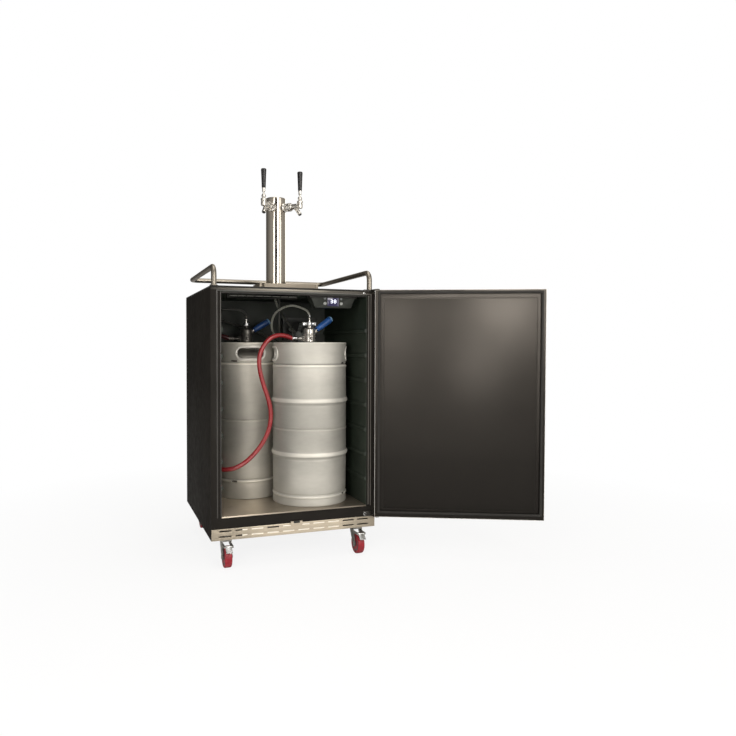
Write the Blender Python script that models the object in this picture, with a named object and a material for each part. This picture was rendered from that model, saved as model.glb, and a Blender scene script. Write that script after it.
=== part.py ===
"""A two-tap kegerator: a cooler cabinet on casters with its door standing open.

Two kegs stand inside, each with a lever coupler, a gas hose and a beer line to the tower on top.
Metres, +Z up, the door towards -Y. The cabinet's own frame has x = 0 at its middle, y = 0 at the
front face and z = 0 on the floor; at the end everything is moved so that the object's box is
centred over the origin.
"""

import math

import bmesh
import bpy
from mathutils import Matrix, Vector

# general fits
OVERRUN = 0.002
FIT_GAP = 0.0003
MERGE_DISTANCE = 0.00001
SMOOTH_ANGLE = math.radians(35)

# cabinet
SIDE_WALL = 0.035
CABINET_HEAD = 0.020
CASTER_HEIGHT = 0.100
SHEET = 0.0012
WORKTOP_THICKNESS = 0.006
WORKTOP_BEVEL = 0.0015
DECK_HEIGHT = 0.040
MACHINE_DEPTH = 0.130
REAR_WALL = 0.028
TOWER_SETBACK = 0.277
DUCT_RADIUS = 0.030
DUCT_STEPS = 24

# cavity liner
KEG_SIDE_ROOM = 0.0265
OPENING_BOTTOM = 0.080
LINE_HEADROOM = 0.0766
LINER_WALL = 0.0025
KEG_REAR_ROOM = 0.0115
RIM_PROUD = 0.002
LEDGE_COUNT = 7
LEDGE_PITCH = 0.0897
LEDGE_FIRST = 0.1005
LEDGE_HEIGHT = 0.014
LEDGE_REACH = 0.007
LEDGE_SLOPE = 0.003
FLOOR_PLATE = 0.0015
FLOOR_LIP = 0.0045

# front grille and catch
GRILLE_SIDE_GAP = 0.0005
GRILLE_THICKNESS = 0.002
GRILLE_LIFT = 0.0005
GRILLE_SLOTS = 10
GRILLE_PITCH = 0.056
SLOT_LENGTH = 0.044
SLOT_HEIGHT = 0.0045
GRILLE_ROW_SHARES = (0.3225, 0.785)
CATCH_WIDTH = 0.042
CATCH_DROP = 0.009
CATCH_RISE = 0.006
CATCH_THICKNESS = 0.0035

# base pan and rear
PAN_INSET = 0.012
BOSS_RADIUS = 0.014
BOSS_HEIGHT = 0.012
REAR_LOUVRES = 6
LOUVRE_PITCH = 0.022
LOUVRE_LENGTH = 0.150
LOUVRE_HEIGHT = 0.008
LOUVRE_FIRST = 0.070
LOUVRE_X = 0.120

# compressor, condenser and mains inlet
COMPRESSOR_RADIUS = 0.052
COMPRESSOR_HEIGHT = 0.150
COMPRESSOR_X = -0.110
COMPRESSOR_DOME = 0.020
COMPRESSOR_FOOT_RADIUS = 0.030
COMPRESSOR_FOOT_HEIGHT = 0.010
CONDENSER_X = 0.130
CONDENSER_WIDTH = 0.180
CONDENSER_DEPTH = 0.080
CONDENSER_HEIGHT = 0.170
CONDENSER_FIN = 0.003
CONDENSER_GAP = 0.013
CONDENSER_WEB = 0.016
INLET_INSET = 0.070
INLET_HEIGHT = 0.250
INLET_HEADROOM = 0.035
INLET_WIDTH = 0.050
INLET_TALL = 0.030
INLET_DEPTH = 0.020
INLET_PROUD = 0.003

# control panel under the cavity's ceiling
CONTROL_INSET = 0.1215
CONTROL_TOP_WIDTH = 0.176
CONTROL_BOTTOM_WIDTH = 0.136
CONTROL_DROP = 0.046
CONTROL_FRONT = 0.018
CONTROL_TOP_DEPTH = 0.060
CONTROL_BOTTOM_DEPTH = 0.030
WINDOW_WIDTH = 0.044
WINDOW_HEIGHT = 0.034
WINDOW_THICKNESS = 0.0016
WINDOW_SINK = 0.001
BUTTON_RADIUS = 0.006
BUTTON_LENGTH = 0.006
BUTTON_PROUD = 0.0022
BUTTON_SPREAD = 0.062
BUTTON_HEIGHT = 0.0305
BUTTON_STEPS = 16

# ceiling vent strip
VENT_LEFT = -0.240
VENT_RIGHT = 0.010
VENT_FRONT = 0.022
VENT_DEPTH = 0.020
VENT_DROP = 0.018
VENT_SLOTS = 8
VENT_BAR = 0.008
VENT_SLOT_HEIGHT = 0.004
VENT_SLOT_RISE = 0.0055

# fan on the back wall
FAN_X = 0.140
FAN_DROP = 0.136
FAN_BOX = 0.140
FAN_BOX_DEPTH = 0.036
FAN_WELL_RADIUS = 0.054
FAN_WELL_DEPTH = 0.030
FAN_BOSS_RADIUS = 0.014
FAN_BOSS_LENGTH = 0.008
FAN_SHAFT_RADIUS = 0.003
FAN_SHAFT_LENGTH = 0.018
FAN_HUB_RADIUS = 0.015
FAN_HUB_LENGTH = 0.012
FAN_TIP_RADIUS = 0.049
FAN_BLADES = 5
FAN_BLADE_THICKNESS = 0.0018
FAN_BLADE_CHORD = 0.024
FAN_BLADE_PITCH = math.radians(28)

# gas manifold through the back wall
PORT_INSET = 0.025
PORT_LOW = 0.215
PORT_HIGH = 0.262
PORT_BLOCK_WIDTH = 0.030
PORT_BLOCK_DEPTH = 0.036
PORT_MARGIN = 0.016
BARB_LENGTH = 0.026
BARB_RADIUS = 0.0050
PIPE_RADIUS = 0.006
PIPE_PROUD = 0.015

# door and hinges
DOOR_SIDE_GAP = 0.0015
DOOR_BOTTOM = 0.048
DOOR_TOP_GAP = 0.003
DOOR_THICKNESS = 0.045
DOOR_GAP = 0.012
DOOR_SKIN = 0.0012
DOOR_PANEL = 0.0025
DOOR_OPEN_ANGLE = math.radians(155.5)
HINGE_INSET = 0.006
HINGE_DEPTH = 0.0215
PIN_RADIUS = 0.0025
PIN_DEPTH = 0.008
PIN_COLLAR_RADIUS = 0.005
PIN_COLLAR_HEIGHT = 0.0012
PIN_STEPS = 12
HINGE_PLATE = 0.003
HINGE_LEG_INSET = 0.046
HINGE_LEG_EDGE = 0.002
HINGE_LEG_LOW = 0.0405
HINGE_LEG_TALL = 0.0175
HINGE_LEG_SHORT = 0.010
HINGE_ARM_REACH = 0.047
HINGE_ARM_INSET = 0.018
HINGE_ARM_PROUD = 0.0025
HINGE_ARM_LIFT = 0.0015
SCREW_RADIUS = 0.0042
SCREW_HEIGHT = 0.0016
SCREW_INSET = 0.039
PANEL_GROOVE_INSET = 0.030
PANEL_GROOVE_WIDTH = 0.003
PANEL_GROOVE_DEPTH = 0.0012
GASKET_INSET = 0.0105
GASKET_INSET_LOW = 0.016
GASKET_INSET_HIGH = 0.0062
GASKET_WIDTH = 0.008
GASKET_DEPTH = 0.0112
HANDLE_LENGTH = 0.420
HANDLE_RADIUS = 0.008
HANDLE_STANDOFF = 0.040
HANDLE_INSET = 0.055
HANDLE_LEG_RADIUS = 0.006
HANDLE_LEG_INSET = 0.030
HANDLE_MIDDLE = 0.520
HANDLE_STEPS = 16

# guard rail
RAIL_RADIUS = 0.0095
RAIL_SIDE_INSET = 0.015
RAIL_FRONT = 0.020
RAIL_REAR_INSET = 0.065
RAIL_HEIGHT = 0.067
RAIL_POST_BEND = 0.030
RAIL_CORNER_BEND = 0.024
RAIL_FOOT_RADIUS = 0.0145
RAIL_FOOT_HEIGHT = 0.003
RAIL_BEND_STEPS = 4

# tower
COLUMN_RADIUS = 0.038
COLUMN_WALL = 0.0015
TOWER_HEIGHT = 0.366
BASE_RADIUS = 0.050
BASE_THICKNESS = 0.004
BASE_COLLAR_RADIUS = 0.043
BASE_COLLAR_HEIGHT = 0.012
CAP_HEIGHT = 0.006
CAP_PLUG = 0.010
TOWER_STEPS = 28
TAP_HEADING = math.radians(38)
SHANK_DROP = 0.040
SHANK_HEIGHT = TOWER_HEIGHT - SHANK_DROP
SHANK_RADIUS = 0.0110
TAIL_RADIUS = 0.0055
TAIL_LENGTH = 0.010
FLANGE_RADIUS = 0.0175
FLANGE_LENGTH = 0.010
NUT_RADIUS = 0.0160
NUT_START = 0.056
NUT_END = 0.072
ELBOW_REACH = 0.0160
ELBOW_RADIUS = 0.0045
ELBOW_DROP = 0.024

# faucets
FAUCET_RADIUS = 0.0115
FAUCET_BODY_END = 0.100
BONNET_REACH = 0.114
BONNET_RADIUS = 0.0105
BONNET_BOTTOM = -0.010
BONNET_TOP = 0.0185
BONNET_NECK_RADIUS = 0.008
SPOUT_RADIUS = 0.0060
LEVER_BALL_RADIUS = 0.0085
LEVER_NECK_RADIUS = 0.0038
LEVER_NECK_TOP = 0.0152
FERRULE_RADIUS = 0.0062
FERRULE_TOP = 0.0300
TAP_GRIP_LOW_RADIUS = 0.0076
TAP_GRIP_HIGH_RADIUS = 0.0102
TAP_GRIP_LENGTH = 0.0700
TAP_STEPS = 16
SPOUT_SHARES = ((0.671, -0.25), (0.732, -0.55), (0.816, -0.85), (0.895, -1.45), (0.996, -2.55))

# drip tray
TRAY_WIDTH = 0.220
TRAY_DEPTH = 0.130
TRAY_FRONT = 0.075
TRAY_HEIGHT = 0.020
TRAY_RIM = 0.008
TRAY_WELL = 0.006
TRAY_CORNER = 0.014

# kegs
KEG_HEIGHT = 0.594
KEG_WALL = 0.002
KEG_CHIME_WALL = 0.0032
KEG_RIM_RADIUS = 0.0035
KEG_NECK_RADIUS = 0.034
KEG_BORE_RADIUS = 0.026
KEG_NECK_SINK = 0.014
KEG_STEPS = 28
KEG_DOME_SHARES = (0.35, 0.75, 0.95)
HOOP_WIDTH = 0.011
HAND_HOLE_WIDTH = 0.108
HAND_HOLE_HEIGHT = 0.044
HAND_HOLE_DROP = 0.038
LARGE_KEG = {"x": 0.100, "y": 0.161, "radius": 0.1385, "hoop": 0.0038, "hoop_shares": (0.327, 0.646), "top_share": 0.857,
             "bottom_share": 0.089, "turn": math.radians(90), "lever": math.radians(36.5)}
SLIM_KEG = {"x": -0.105, "y": 0.334, "radius": 0.1165, "hoop": 0.0, "hoop_shares": (), "top_share": 0.862,
            "bottom_share": 0.123, "turn": 0.0, "lever": math.radians(31)}

# couplers
COUPLER_BASE_RADIUS = 0.034
COUPLER_BASE_HEIGHT = 0.018
COUPLER_LUG_HEIGHT = 0.010
COUPLER_BODY_RADIUS = 0.0215
COUPLER_BODY_TOP = 0.068
COUPLER_STEM_RADIUS = 0.0085
COUPLER_WING_HEIGHT = 0.0846
COUPLER_WING_LENGTH = 0.053
COUPLER_WING_SECTION = 0.009
COUPLER_NIPPLE_RADIUS = 0.0052
COUPLER_TOP = 0.1070
COUPLER_PROBE_DROP = 0.014
GAS_PORT_HEIGHT = 0.0286
GAS_PORT_RADIUS = 0.0058
GAS_NUT_RADIUS = 0.0095
GAS_NUT_LENGTH = 0.012
GAS_PORT_REACH = 0.0510
LEVER_PIVOT_OUT = 0.0215
LEVER_PIVOT_UP = 0.0565
LEVER_EAR_THICKNESS = 0.003
LEVER_EAR_RADIUS = 0.0065
LEVER_EYE_RADIUS = 0.0060
LEVER_EYE_WIDTH = 0.008
LEVER_PIN_RADIUS = 0.0022
LEVER_ARM_RADIUS = 0.0036
LEVER_ARM_LENGTH = 0.010
LEVER_GRIP_RADIUS = 0.0115
LEVER_GRIP_LENGTH = 0.072
LEVER_SLOT = 0.0075
COUPLER_STEPS = 16

# casters
WHEEL_RADIUS = 0.0375
WHEEL_WIDTH = 0.027
WHEEL_STEPS = 24
WHEEL_SHOULDER = 0.004
WHEEL_HUB_RADIUS = 0.024
WHEEL_HUB_SINK = 0.003
AXLE_RADIUS = 0.004
AXLE_CLEARANCE = 0.0003
FORK_SIDE_INSET = 0.057
FORK_FRONT = 0.045
FORK_REAR_INSET = 0.045
FORK_TRAIL = 0.025
FORK_PLATE = 0.0025
FORK_SIDE_GAP = 0.0015
FORK_CROWN_RADIUS = 0.021
FORK_CROWN_HEIGHT = 0.012
FORK_WIDE_SHARE = 0.95
FORK_NARROW_SHARE = 0.55
FORK_STEM_RADIUS = 0.0055
STEM_CLEARANCE = 0.0003
AXLE_HEAD_RADIUS = 0.0065
AXLE_HEAD_LENGTH = 0.002
BRAKE_WIDTH = 0.022
BRAKE_THICKNESS = 0.003
BRAKE_LENGTH = 0.026
BRAKE_SLOPE = math.radians(40)
BRAKE_PIVOT_RADIUS = 0.0035
BRAKE_FORWARD = 0.030
BRAKE_UP = 0.042

# hoses and lines, as places in the cabinet's frame with z above the cabinet's underside, drawn for one neck height
ROUTE_NECK_HEIGHT = 0.580
ROUTE_TOP = 0.690
ROUTE_LOW = 0.215
HOSE_RADIUS = 0.0083
LINE_RADIUS = 0.00425
HOSE_STEP = 0.060
LINE_STEP = 0.055
LARGE_GAS_ROUTE = (
    (0.0320, 0.1610, 0.6912), (0.0106, 0.1570, 0.6985), (-0.0216, 0.1500, 0.7025),
    (-0.0537, 0.1450, 0.6925), (-0.0790, 0.1410, 0.6680), (-0.0950, 0.1400, 0.6365),
    (-0.1000, 0.1400, 0.6020), (-0.0951, 0.1400, 0.5630), (-0.0827, 0.1400, 0.5180),
    (-0.0677, 0.1400, 0.4740), (-0.0590, 0.1400, 0.4390), (-0.0560, 0.1400, 0.4000),
    (-0.0640, 0.1400, 0.3540), (-0.0844, 0.1420, 0.3100), (-0.1134, 0.1430, 0.2715),
    (-0.1523, 0.1400, 0.2380), (-0.1930, 0.1370, 0.2193), (-0.2230, 0.1490, 0.2140),
    (-0.2380, 0.1770, 0.2125), (-0.2415, 0.2150, 0.2125), (-0.2415, 0.2950, 0.2135),
    (-0.2400, 0.3800, 0.2150),
)
SLIM_GAS_ROUTE = (
    (-0.1730, 0.3340, 0.6912), (-0.1930, 0.3365, 0.6985), (-0.2110, 0.3450, 0.6995),
    (-0.2280, 0.3620, 0.6890), (-0.2390, 0.3820, 0.6640), (-0.2418, 0.3970, 0.6280),
    (-0.2418, 0.4010, 0.5800), (-0.2418, 0.3900, 0.5000), (-0.2415, 0.3650, 0.4200),
    (-0.2415, 0.3430, 0.3600), (-0.2412, 0.3370, 0.3180), (-0.2408, 0.3430, 0.2860),
    (-0.2403, 0.3600, 0.2670), (-0.2400, 0.3830, 0.2620),
)
LARGE_BEER_ROUTE = (
    (0.0990, 0.1610, 0.7830), (0.0915, 0.1625, 0.7950), (0.0700, 0.1700, 0.8065),
    (0.0503, 0.1800, 0.8135), (0.0335, 0.1920, 0.8150), (0.0144, 0.2100, 0.8095),
    (-0.0065, 0.2300, 0.7954), (-0.0155, 0.2500, 0.7785), (-0.0185, 0.2680, 0.7560),
    (-0.0140, 0.2850, 0.7300), (0.0000, 0.3010, 0.7050), (0.0220, 0.3180, 0.6870),
    (0.0480, 0.3290, 0.6790), (0.0730, 0.3350, 0.6850), (0.0870, 0.3370, 0.7040),
    (0.0830, 0.3330, 0.7280), (0.0680, 0.3270, 0.7480), (0.0500, 0.3180, 0.7670),
    (0.0320, 0.3060, 0.7880), (0.0130, 0.2890, 0.8120), (-0.0020, 0.2740, 0.8380),
    (-0.0085, 0.2665, 0.8680), (-0.0098, 0.2644, 0.9000), (-0.0098, 0.2644, 0.9500),
    (-0.0098, 0.2644, 1.0600),
)
SLIM_BEER_ROUTE = (
    (-0.1056, 0.3340, 0.7830), (-0.1130, 0.3335, 0.7945), (-0.1300, 0.3315, 0.8015),
    (-0.1580, 0.3300, 0.8045), (-0.1890, 0.3320, 0.8035), (-0.2140, 0.3430, 0.7970),
    (-0.2260, 0.3640, 0.7870), (-0.2210, 0.3880, 0.7770), (-0.2020, 0.4060, 0.7680),
    (-0.1700, 0.4150, 0.7580), (-0.1250, 0.4180, 0.7460), (-0.0750, 0.4150, 0.7310),
    (-0.0300, 0.4060, 0.7130), (0.0080, 0.3910, 0.6910), (0.0360, 0.3680, 0.6680),
    (0.0460, 0.3400, 0.6540), (0.0400, 0.3130, 0.6560), (0.0275, 0.2950, 0.6760),
    (0.0170, 0.2810, 0.7040), (0.0115, 0.2705, 0.7380), (0.0100, 0.2655, 0.7750),
    (0.0098, 0.2644, 0.8200), (0.0098, 0.2644, 0.9000), (0.0098, 0.2644, 1.0600),
)

UNDERSIDE = CASTER_HEIGHT
KEG_NECK_HEIGHT = KEG_HEIGHT - KEG_NECK_SINK
OPENING_TOP = OPENING_BOTTOM + FLOOR_PLATE + 3 * FIT_GAP + KEG_NECK_HEIGHT + COUPLER_TOP + LINE_HEADROOM
CABINET_HEIGHT = OPENING_TOP + CABINET_HEAD
LINER_DEPTH = SLIM_KEG["y"] + SLIM_KEG["radius"] + KEG_REAR_ROOM
MACHINE_FRONT = LINER_DEPTH + REAR_WALL
CABINET_DEPTH = MACHINE_FRONT + MACHINE_DEPTH
DOOR_TOP = CABINET_HEIGHT - DOOR_TOP_GAP
RAIL_BACK = CABINET_DEPTH - RAIL_REAR_INSET
FORK_REAR = CABINET_DEPTH - FORK_REAR_INSET
HALF_OPENING = LARGE_KEG["x"] + LARGE_KEG["radius"] + KEG_SIDE_ROOM
HALF_WIDTH = HALF_OPENING + SIDE_WALL
CABINET_WIDTH = 2 * HALF_WIDTH
DOOR_WIDTH = CABINET_WIDTH - 2 * DOOR_SIDE_GAP
GRILLE_WIDTH = CABINET_WIDTH - 2 * GRILLE_SIDE_GAP
RAIL_X = HALF_WIDTH - RAIL_SIDE_INSET
FORK_X = HALF_WIDTH - FORK_SIDE_INSET
HINGE_LEG_LEFT, HINGE_LEG_RIGHT = HALF_WIDTH - HINGE_LEG_INSET, HALF_WIDTH - HINGE_LEG_EDGE
HINGE_ARM_LEFT, HINGE_ARM_RIGHT = HALF_WIDTH - HINGE_ARM_INSET, HALF_WIDTH + HINGE_ARM_PROUD
SCREW_X = HALF_WIDTH - SCREW_INSET
INLET_X = HALF_WIDTH - INLET_INSET
MACHINE_HEIGHT = INLET_HEIGHT + INLET_TALL / 2 + INLET_HEADROOM
PORT_X = PORT_INSET - HALF_OPENING
CONTROL_X = HALF_OPENING - CONTROL_INSET
SHELL_TOP = UNDERSIDE + CABINET_HEIGHT - WORKTOP_THICKNESS
WORKTOP = UNDERSIDE + CABINET_HEIGHT
CAVITY_FLOOR = UNDERSIDE + OPENING_BOTTOM
CAVITY_CEILING = UNDERSIDE + OPENING_TOP
KEG_FLOOR = CAVITY_FLOOR + FIT_GAP + FLOOR_PLATE + FIT_GAP
AXLE_HEIGHT = WHEEL_RADIUS * math.cos(math.pi / WHEEL_STEPS)


def clear_scene():
    for thing in list(bpy.data.objects):
        bpy.data.objects.remove(thing, do_unlink=True)


def finish(name, colour, roughness, metallic=0.0):
    """A plain Principled material."""
    made = bpy.data.materials.new(name)
    made.use_nodes = True
    shader = made.node_tree.nodes["Principled BSDF"]
    shader.inputs["Base Color"].default_value = (*colour, 1.0)
    shader.inputs["Roughness"].default_value = roughness
    shader.inputs["Metallic"].default_value = metallic
    return made


def empty(name, place, parent=None, turn=(0, 0, 0)):
    """A frame that other pieces hang on."""
    made = bpy.data.objects.new(name, None)
    bpy.context.collection.objects.link(made)
    made.parent = parent
    made.location = place
    made.rotation_euler = turn
    return made


def piece(name, mesh, material, parent, place=(0, 0, 0), turn=(0, 0, 0)):
    """One sub-part, shaded smooth with its hard edges kept."""
    mesh.name = name
    mesh.materials.clear()
    mesh.materials.append(material)
    mesh.shade_smooth()
    mesh.set_sharp_from_angle(angle=SMOOTH_ANGLE)
    made = bpy.data.objects.new(name, mesh)
    bpy.context.collection.objects.link(made)
    made.parent = parent
    made.location = place
    made.rotation_euler = turn
    return made


def combine(target, mesh, operation, place=(0, 0, 0), turn=(0, 0, 0), parent=None):
    """A hidden helper shape that a Boolean cuts from the target or joins to it."""
    helper = bpy.data.objects.new("helper", mesh)
    bpy.context.collection.objects.link(helper)
    helper.parent = target.parent if parent is None else parent
    helper.location = place
    helper.rotation_euler = turn
    helper.hide_render = True
    helper.display_type = "WIRE"
    step = target.modifiers.new(operation.lower(), "BOOLEAN")
    step.operation = operation
    step.object = helper
    return helper


def cut(target, mesh, place=(0, 0, 0), turn=(0, 0, 0), parent=None):
    return combine(target, mesh, "DIFFERENCE", place, turn, parent)


def join(target, mesh, place=(0, 0, 0), turn=(0, 0, 0), parent=None):
    return combine(target, mesh, "UNION", place, turn, parent)


def to_mesh(bm):
    """Closes a bmesh into a mesh, with its doubles merged and its faces pointing out."""
    bmesh.ops.remove_doubles(bm, verts=bm.verts, dist=MERGE_DISTANCE)
    bmesh.ops.recalc_face_normals(bm, faces=bm.faces)
    mesh = bpy.data.meshes.new("shape")
    bm.to_mesh(mesh)
    bm.free()
    return mesh


def block(low, high, bevel=0.0):
    """A box between two corners, with its edges rounded off if a bevel is given."""
    bm = bmesh.new()
    size = Vector(high) - Vector(low)
    centre = (Vector(high) + Vector(low)) / 2
    bmesh.ops.create_cube(bm, size=1.0, matrix=Matrix.Translation(centre) @ Matrix.Diagonal((*size, 1.0)))
    if bevel:
        bmesh.ops.bevel(bm, geom=bm.edges, offset=bevel, segments=1, affect="EDGES")
    return to_mesh(bm)


def blocks(corners):
    """Several boxes in one helper mesh, each given by its two corners."""
    bm = bmesh.new()
    for low, high in corners:
        size = Vector(high) - Vector(low)
        centre = (Vector(high) + Vector(low)) / 2
        bmesh.ops.create_cube(bm, size=1.0, matrix=Matrix.Translation(centre) @ Matrix.Diagonal((*size, 1.0)))
    return to_mesh(bm)


def prism(outline, depth):
    """An outline of (x, z) points extruded along +Y."""
    bm = bmesh.new()
    corners = [bm.verts.new((x, 0, z)) for x, z in outline]
    face = bm.faces.new(corners)
    grown = bmesh.ops.extrude_face_region(bm, geom=[face])["geom"]
    moved = [v for v in grown if isinstance(v, bmesh.types.BMVert)]
    bmesh.ops.translate(bm, verts=moved, vec=(0, depth, 0))
    return to_mesh(bm)


def stadium(length, height, steps=6):
    """The outline of a slot with round ends, lying along x."""
    radius = height / 2
    reach = length / 2 - radius
    points = []
    for side, start in ((1, -math.pi / 2), (-1, math.pi / 2)):
        for k in range(steps + 1):
            angle = start + math.pi * k / steps
            points.append((side * reach + radius * math.cos(angle), radius * math.sin(angle)))
    return points


def turned(profile, steps):
    """A profile of (radius, z) points turned about the z axis. It starts and ends on the axis or closes."""
    bm = bmesh.new()
    points = [bm.verts.new((radius, 0, z)) for radius, z in profile]
    edges = [bm.edges.new(pair) for pair in zip(points, points[1:])]
    if profile[0][0] > 0:
        edges.append(bm.edges.new((points[-1], points[0])))
    bmesh.ops.spin(bm, geom=points + edges, axis=(0, 0, 1), cent=(0, 0, 0), angle=2 * math.pi, steps=steps,
                   use_merge=True)
    return to_mesh(bm)


def rod(radius, length, steps, start=0.0):
    """A plain round bar along z."""
    return turned(((0, start), (radius, start), (radius, start + length), (0, start + length)), steps)


def frame_band(width, height, band, depth):
    """A rectangular ring in the xz plane, centred, with its depth along +Y."""
    bm = bmesh.new()
    rings = []
    for inset in (0, band):
        for y in (0, depth):
            x, z = width / 2 - inset, height / 2 - inset
            corners = ((-x, y, -z), (x, y, -z), (x, y, z), (-x, y, z))
            rings.append([bm.verts.new(corner) for corner in corners])
    outer_front, outer_back, inner_front, inner_back = rings
    for one, other in ((outer_front, outer_back), (inner_front, inner_back), (outer_front, inner_front),
                       (outer_back, inner_back)):
        for k in range(4):
            nxt = (k + 1) % 4
            bm.faces.new((one[k], one[nxt], other[nxt], other[k]))
    return to_mesh(bm)


def smooth_route(points, step):
    """Points about one step apart along a smooth curve through the route's own points."""
    knots = [Vector(p) for p in points]
    padded = [2 * knots[0] - knots[1], *knots, 2 * knots[-1] - knots[-2]]
    route = [knots[0]]
    for before, here, there, after in zip(padded, padded[1:], padded[2:], padded[3:]):
        pieces = max(1, round((there - here).length / step))
        for k in range(1, pieces + 1):
            t = k / pieces
            route.append(0.5 * (2 * here + (there - before) * t
                                + (2 * before - 5 * here + 4 * there - after) * t ** 2
                                + (3 * here - before - 3 * there + after) * t ** 3))
    return route


def tube_curve(name, points, radius, sides_share=2):
    """A curve object along the points with a round section and closed ends."""
    data = bpy.data.curves.new(name, "CURVE")
    data.dimensions = "3D"
    data.bevel_depth = radius
    data.bevel_resolution = sides_share
    data.use_fill_caps = True
    spline = data.splines.new("POLY")
    spline.points.add(len(points) - 1)
    for slot, point in zip(spline.points, points):
        slot.co = (*point, 1.0)
    return data


def tube_mesh(points, radius, sides_share=2):
    """The same tube as a mesh, for shapes that are cut or joined."""
    data = tube_curve("guide", points, radius, sides_share)
    guide = bpy.data.objects.new("guide", data)
    bpy.context.collection.objects.link(guide)
    bpy.context.view_layer.update()
    mesh = bpy.data.meshes.new_from_object(guide.evaluated_get(bpy.context.evaluated_depsgraph_get()))
    bpy.data.objects.remove(guide, do_unlink=True)
    bm = bmesh.new()
    bm.from_mesh(mesh)
    return to_mesh(bm)


def bent(corners, radii, steps):
    """A path through its corners, each rounded with an arc of its own radius."""
    points = [Vector(corners[0])]
    for before, corner, after, radius in zip(corners, corners[1:], corners[2:], radii):
        corner = Vector(corner)
        arriving = (corner - Vector(before)).normalized()
        leaving = (Vector(after) - corner).normalized()
        angle = arriving.angle(leaving)
        start = corner - arriving * radius * math.tan(angle / 2)
        inward = (leaving - arriving * arriving.dot(leaving)).normalized()
        centre = start + inward * radius
        for k in range(steps + 1):
            swept = angle * k / steps
            points.append(centre - inward * radius * math.cos(swept) + arriving * radius * math.sin(swept))
    points.append(Vector(corners[-1]))
    return points


def heading(side):
    """The direction in which a tap faces: side is -1 for the left one and 1 for the right one."""
    return Vector((side * math.sin(TAP_HEADING), -math.cos(TAP_HEADING), 0))


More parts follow.
